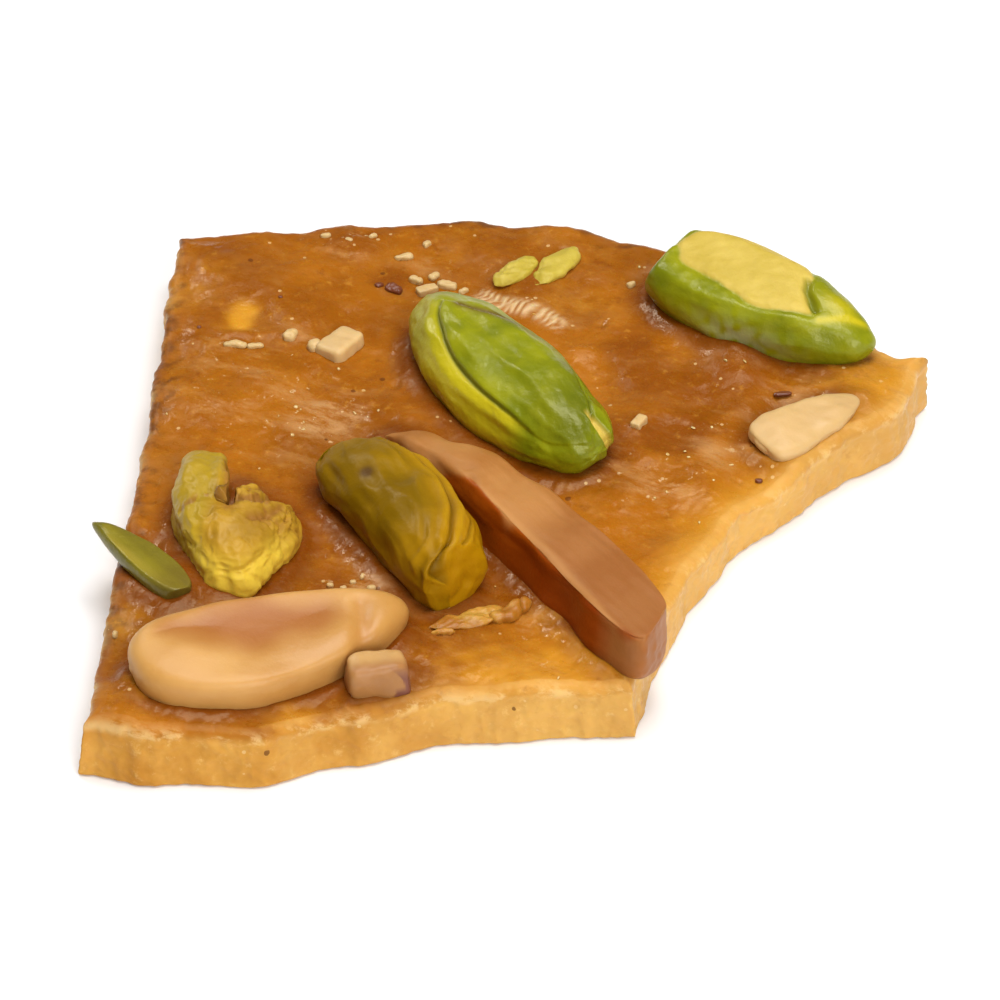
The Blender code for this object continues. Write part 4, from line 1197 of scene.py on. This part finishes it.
def toffee_finish():
    """Amber toffee: satin and mottled, hazy where its skin crinkles with painted sheen and glints, paler where
    thin with a painted highlight, painted shadow round the nuts, sandy on the break.
    """
    material, tree, shader = new_material("toffee")
    fine, mottle = grain(tree, 1500.0, 130.0)
    side, haze_and_sheen, thin_and_highlit, rim = (mask(tree, name) for name in ("side", "haze_and_sheen", "thin_and_highlit", "rim"))
    clouds = spread(tree, noise(tree, 420.0, 5.0, 0.65), 0.42, 0.72)
    sandy = spread(tree, noise(tree, 1500.0, 4.0, 0.7), 0.55, 0.80)
    deep = spread(tree, noise(tree, 900.0, 5.0, 0.7), 0.55, 0.76)
    near_nut = spread(tree, mask(tree, "nut_far"), 1.6, 0.0)
    # painted shadow: the toffee darker close round each nut, less where it is painted light
    ring = times(tree, near_nut, spread(tree, thin_and_highlit, 0.1, 0.8, 1.0, 0.45))
    streaks = noise(tree, 520.0, 6.0, 0.75, (3.0, -22.0))
    # pale streaks on the crinkles: partly sugar haze, partly a painted sheen
    veil_and_sheen = times(tree, haze_and_sheen, spread(tree, streaks, 0.46, 0.68))
    # painted glints on the crinkles
    glints = times(tree, haze_and_sheen, spread(tree, noise(tree, 1700.0, 4.0, 0.7), 0.62, 0.70))
    # grainy darkening along the far and left rims
    back_rim_darkened = times(tree, mask(tree, "back_rim_dark"), spread(tree, noise(tree, 1000.0, 4.0, 0.7), 0.38, 0.60))
    amber = layered(
        tree,
        between(tree, mottle, 0.30, 0.70, *AMBER),
        (clouds, 0.55, (0.43, 0.150, 0.008)),
        # darker brown: partly own tone, partly painted shade in the pit, round the nuts and under the far rim
        ("brown", 0.80, (0.23, 0.056, 0.0025)),
        # paler where thin, and a painted highlight and glow along the near shoulder and the right rim
        (thin_and_highlit, 0.90, (0.60, 0.255, 0.018)),
        (sandy, 0.60, (0.58, 0.26, 0.030)),
        (deep, 0.60, (0.19, 0.045, 0.003)),
        # painted shadow round the nuts
        (ring, 0.85, (0.18, 0.040, 0.002)),
        (veil_and_sheen, 0.60, (0.50, 0.225, 0.062)),
        # whitish streaks: milky sugar and painted glossy highlights
        (times(tree, mask(tree, "milk_and_sheen"), spread(tree, streaks, 0.40, 0.56)), 0.62, (0.58, 0.31, 0.12)),
        # painted glints
        (glints, 0.70, (0.78, 0.55, 0.28)),
        # painted glints on the combed wrinkles
        ("combed_glints", 0.90, (0.78, 0.56, 0.30)),
        ("gold", 0.85, (0.66, 0.29, 0.018)),
        (back_rim_darkened, 0.85, (0.13, 0.036, 0.005)),
    )
    sand = layered(
        tree,
        between(tree, noise(tree, 230.0, 5.0, 0.6), 0.32, 0.68, *SAND),
        (sandy, 0.60, (0.84, 0.56, 0.20)),
        # the break paler under the painted highlight
        (thin_and_highlit, 0.45, (0.80, 0.50, 0.15)),
        (deep, 0.36, (0.38, 0.13, 0.012)),
    )
    # near the rim, where the top is painted light, it takes the paler sand colour
    shelf = times(tree, spread(tree, rim, 1.5, 0.2), thin_and_highlit, 0.6)
    line_far = arithmetic(tree, "ABSOLUTE", arithmetic(tree, "SUBTRACT", side, CRYSTALS_DOWN), 0.0)
    crystals = times(tree, spread(tree, line_far, 0.15, 0.0), spread(tree, streaks, 0.47, 0.58))
    colour = layered(
        tree,
        tint(tree, arithmetic(tree, "MAXIMUM", spread(tree, side, 0.02, 0.22), shelf), amber, sand),
        (crystals, 0.52, (0.84, 0.60, 0.26)),
        (specks(tree, 700.0, 0.12, 0.14), 0.75, (0.12, 0.030, 0.005)),
        # pale specks: sugar crystals, partly painted as tiny glints
        (specks(tree, 1500.0, 0.16, 0.08), 0.50, (0.82, 0.58, 0.26)),
    )
    gloss = spread(tree, noise(tree, 800.0, 4.0, 0.7), 0.35, 0.65, 0.17, 0.38)
    gloss = arithmetic(tree, "ADD", gloss, spread(tree, rim, 1.4, 0.3, 0.0, 0.16))
    uneven = arithmetic(tree, "ADD", fine, times(tree, noise(tree, 600.0, 5.0, 0.7), 1.5))
    set_shader(tree, shader, base_color=colour, roughness=gloss, normal=relief(tree, uneven, 0.040))
    set_shader(tree, shader, ior=1.45, specular_ior_level=0.30, specular_tint=(1.0, 0.80, 0.50))
    translucent(tree, shader, 0.20, 1.2, (1.0, 0.42, 0.10))
    return material


def pistachio_finish():
    """Green kernel: mottled, with a yellower rim, a dark seam partly painted shade, brown skin, a painted pale
    sheen and a yellow cut face.
    """
    material, tree, shader = new_material("pistachio")
    fine, mottle = grain(tree, 2600.0, 330.0)
    cut = mask(tree, "cut")
    green = layered(
        tree,
        between(tree, mottle, 0.32, 0.68, *GREEN_SKIN),
        (spread(tree, noise(tree, 1100.0, 5.0), 0.52, 0.80), 0.35, (0.38, 0.36, 0.020)),
        ("shade", 0.70, (0.105, 0.118, 0.003)),
        ("rim", 0.90, (0.56, 0.45, 0.010)),
        # dark seam: partly joints, partly painted shade in grooves and notches
        ("seam", 0.75, (0.085, 0.095, 0.004)),
        ("skin", 0.85, (0.13, 0.060, 0.018)),
        # a painted pale sheen
        ("side_sheen", 0.58, (0.44, 0.48, 0.27)),
    )
    flesh = between(tree, noise(tree, 420.0, 4.0), 0.3, 0.7, *YELLOW_FLESH)
    gloss = spread(tree, cut, 0.0, 1.0, 0.29, 0.50)
    set_shader(tree, shader, base_color=tint(tree, cut, green, flesh), roughness=gloss)
    set_shader(tree, shader, normal=relief(tree, fine, 0.045), ior=1.45)
    set_shader(tree, shader, specular_ior_level=0.50, specular_tint=(1.0, 0.95, 0.65))
    translucent(tree, shader, 0.16, 1.0, (0.8, 1.0, 0.3))
    return material


def olive_finish():
    """A kernel under a coat of syrup: dark olive on the left, golden on the right folds partly as a painted
    highlight, with painted shade in the creases, glossy.
    """
    material, tree, shader = new_material("pistachio_syruped")
    fine, mottle = grain(tree, 2200.0, 330.0)
    olive = layered(
        tree,
        between(tree, mottle, 0.32, 0.68, *SYRUPED_SKIN),
        # golden: partly syrup, partly a painted highlight
        ("gold", 1.00, (0.42, 0.200, 0.002)),
        # painted highlight on the fold lips and pleat crests
        ("lip", 0.50, (0.46, 0.25, 0.008)),
        # painted shade in the creases
        ("fold", 0.75, (0.13, 0.060, 0.002)),
        ("stain", 0.80, (0.070, 0.028, 0.012)),
    )
    gloss = spread(tree, mottle, 0.3, 0.7, 0.32, 0.44)
    set_shader(tree, shader, base_color=olive, roughness=gloss, normal=relief(tree, fine, 0.04))
    set_shader(tree, shader, ior=1.45, specular_ior_level=0.20, specular_tint=(1.0, 0.85, 0.45))
    translucent(tree, shader, 0.16, 1.0, (1.0, 0.7, 0.1))
    return material


def broken_finish():
    """Broken pistachio flesh: pale yellow, greener on the tall finger, brown where skin is left in hollows,
    painted lighter on its near lower side.
    """
    material, tree, shader = new_material("pistachio_broken")
    fine, mottle = grain(tree, 1800.0, 420.0)
    flesh = layered(
        tree,
        between(tree, mottle, 0.35, 0.65, *BROKEN_FLESH),
        ("tall", 0.75, (0.42, 0.280, 0.014)),
        # the near lower side painted lighter as light
        ("shade", 0.85, (0.84, 0.59, 0.056)),
        ("skin", 0.62, (0.26, 0.090, 0.022)),
    )
    gloss = spread(tree, mask(tree, "rough"), 0.0, 1.0, 0.36, 0.58)
    set_shader(tree, shader, base_color=flesh, roughness=gloss, normal=relief(tree, fine, 0.05), ior=1.45)
    set_shader(tree, shader, specular_ior_level=0.35, specular_tint=(1.0, 0.88, 0.60))
    translucent(tree, shader, 0.18, 1.0, (1.0, 0.9, 0.3))
    return material


def almond_finish():
    """Roasted almond: cream, with a tan dish on its cut face, scraps of dark skin, painted shade low down and in
    the notch, and on the chip a painted light top and darker front.
    """
    material, tree, shader = new_material("almond")
    fine, mottle = grain(tree, 1700.0, 240.0)
    cream = layered(
        tree,
        between(tree, mottle, 0.32, 0.68, *CREAM),
        ("shade", 0.55, (0.54, 0.25, 0.055)),
        ("face", 0.90, (0.36, 0.110, 0.013)),
        # pinkish front, painted darker as shade
        ("pink_shaded_front", 0.75, (0.29, 0.115, 0.036)),
        # painted shade in the notch
        ("notch", 0.60, (0.50, 0.22, 0.05)),
        # pale: the crumbs' own colour, and on the chip a painted lighter top
        ("white", 0.80, (0.66, 0.45, 0.20)),
        ("skin", 0.85, (0.16, 0.045, 0.035)),
    )
    gloss = spread(tree, mottle, 0.3, 0.7, 0.36, 0.48)
    set_shader(tree, shader, base_color=cream, roughness=gloss, normal=relief(tree, fine, 0.03), ior=1.42)
    translucent(tree, shader, 0.22, 1.5, (1.0, 0.7, 0.35))
    return material


def stick_finish():
    """Almond browned on its side by the hot syrup, with a tan cut face on top, fine grain along it, and a
    painted highlight along its ridge.
    """
    material, tree, shader = new_material("almond_roasted")
    fine, mottle = grain(tree, 1700.0, 260.0)
    browned = mask(tree, "browned")
    streak = noise(tree, 900.0, 4.0, 0.6, (4.0, STICK_TURN[2]))
    tan = between(tree, mottle, 0.35, 0.65, *TAN_CUT)
    tan = layered(tree, tan, ("near", 0.65, (0.28, 0.086, 0.022)))
    brown = between(tree, streak, 0.35, 0.65, *BROWNED_SIDE)
    brown = layered(tree, brown, ("near", 0.70, (0.20, 0.024, 0.0010)))
    # painted highlight along the ridge
    wood = layered(tree, tint(tree, browned, tan, brown), ("edge", 0.40, (0.60, 0.30, 0.10)))
    gloss = spread(tree, browned, 0.0, 1.0, 0.46, 0.34)
    uneven = relief(tree, arithmetic(tree, "ADD", fine, streak), 0.035)
    set_shader(tree, shader, base_color=wood, roughness=gloss, normal=uneven, ior=1.42)
    set_shader(tree, shader, specular_ior_level=0.32, specular_tint=(1.0, 0.85, 0.60))
    translucent(tree, shader, 0.15, 1.2, (1.0, 0.5, 0.2))
    return material


def crumb_finish(name, colour_of, scales, depth_mm, **values):
    """A plain finish for crumbs, its colour worked out from the grain group's mottle."""
    material, tree, shader = new_material(name)
    fine, mottle = grain(tree, *scales)
    set_shader(tree, shader, base_color=colour_of(tree, mottle), **values)
    set_shader(tree, shader, normal=relief(tree, fine, depth_mm))
    return material


def tan_colour(tree, mottle):
    """Crumbled toffee and almond baked together: tan with paler and darker grains."""
    return between(tree, mottle, 0.35, 0.65, *BAKED)


def dark_colour(tree, mottle):
    """Scorched crumbs: dark red-brown."""
    return tint(tree, mottle, *SCORCHED)


def sugar_colour(tree, _):
    """Grains of sugar: pale straw, from clear to milky."""
    return tint(tree, mask(tree, "pale"), *SUGAR)


def floor_finish():
    """A plain white matte table."""
    material, tree, shader = new_material("table")
    set_shader(tree, shader, base_color=WHITE_TABLE, roughness=0.9, specular_ior_level=0.0)
    return material


# ---------------------------------------------------------------- the studio

AIM = Vector((-0.6, -0.75, 2.0)) * MM
ELEVATION = math.radians(39.0)
CAMERA_FAR = 0.60
SEEN_WIDTH = 53.7 * MM  # what the frame takes in at the aim point
SENSOR = 36.0
NEAREST_SEEN, FARTHEST_SEEN = 0.01, 10.0
TABLE_HALF = 1.5
TABLE_DROP = 0.02 * MM  # keeps the table clear of the flat underside
WORLD_LIGHT = 0.10
WHITE = (1.0, 1.0, 1.0)
LIGHTS = [
    ("overhead", (0.08, 0.08, 0.90), 0.6, 7.6, WHITE),
    ("back_left", (-0.35, 0.45, 0.50), 0.10, 1.1, (1.0, 0.99, 0.97)),
    ("front_fill", (0.35, -0.72, 0.50), 0.6, 6.5, WHITE),
]


def studio():
    """A white table, a camera at the photograph's angle, and soft light from above, behind and in front."""
    corners = np.array([(-1, -1, 0), (1, -1, 0), (1, 1, 0), (-1, 1, 0)]) * TABLE_HALF / MM
    no_faces = np.zeros((0, 3), int)
    floor = to_mesh("table", corners, np.array([[0, 1, 2, 3]]), no_faces, {}, floor_finish())
    floor.location.z = -TABLE_DROP

    scene = bpy.context.scene
    lens = bpy.data.cameras.new("camera")
    lens.sensor_width = SENSOR
    lens.lens = SENSOR * CAMERA_FAR / SEEN_WIDTH
    lens.clip_start, lens.clip_end = NEAREST_SEEN, FARTHEST_SEEN
    camera = bpy.data.objects.new("camera", lens)
    back = Vector((0, -math.cos(ELEVATION), math.sin(ELEVATION)))
    camera.location = AIM + back * CAMERA_FAR
    camera.rotation_euler = (-back).to_track_quat("-Z", "Y").to_euler()
    scene.collection.objects.link(camera)
    scene.camera = camera

    for name, at, size, power, colour in LIGHTS:
        light = bpy.data.lights.new(name, "AREA")
        light.shape, light.size, light.energy, light.color = "SQUARE", size, power, colour
        lamp = bpy.data.objects.new(name, light)
        lamp.location = at
        lamp.rotation_euler = (-Vector(at)).to_track_quat("-Z", "Y").to_euler()
        scene.collection.objects.link(lamp)

    world = bpy.data.worlds.new("studio")
    world.use_nodes = True
    sky = world.node_tree.nodes["Background"].inputs
    sky["Color"].default_value = (*WHITE, 1.0)
    sky["Strength"].default_value = WORLD_LIGHT
    scene.world = world
    scene.view_settings.view_transform = "Standard"


def main():
    grain_group()
    speck_group()
    green, cream = pistachio_finish(), almond_finish()
    toffee_slab(toffee_finish())
    split_kernel(green)
    sliced_kernel(green)
    olive_kernel(olive_finish())
    broken_kernel(broken_finish())
    kernel_sliver(green)
    halved_almond(cream)
    almond_chip(cream)
    almond_stick(stick_finish())
    almond_slice(cream)
    crumbs("pistachio_flakes", FLAKES, FLAKE_FORM, green, "pistachio", 401, 0.07, rim=0.4, cut=0.72)
    crumbs("almond_crumbs", CUBES, BOX_FORM, cream, "almond", 421, 0.025, white=1.0)
    crumbs("pale_crumbs", PALE_BITS, BIT_FORM, cream, "almond", 481, 0.06, white=1.0)
    baked = dict(roughness=0.42, subsurface_weight=0.15, subsurface_scale=0.0010, ior=1.45)
    tan = crumb_finish("tan_crumb", tan_colour, (1500.0, 700.0), 0.05, **baked)
    dark = crumb_finish("dark_crumb", dark_colour, (1500.0, 900.0), 0.03, roughness=0.3, ior=1.45)
    crumbs("tan_crumbs", TAN_BITS, FLAKE_FORM, tan, "toffee", 441, 0.08)
    crumbs("dark_crumbs", DARK_BITS, BIT_FORM, dark, "toffee", 461, 0.05)
    sugar = dict(roughness=0.22, subsurface_weight=0.2, subsurface_scale=0.0008, ior=1.5)
    sugar_grains(crumb_finish("sugar", sugar_colour, (2500.0, 900.0), 0.02, **sugar))
    studio()


main()
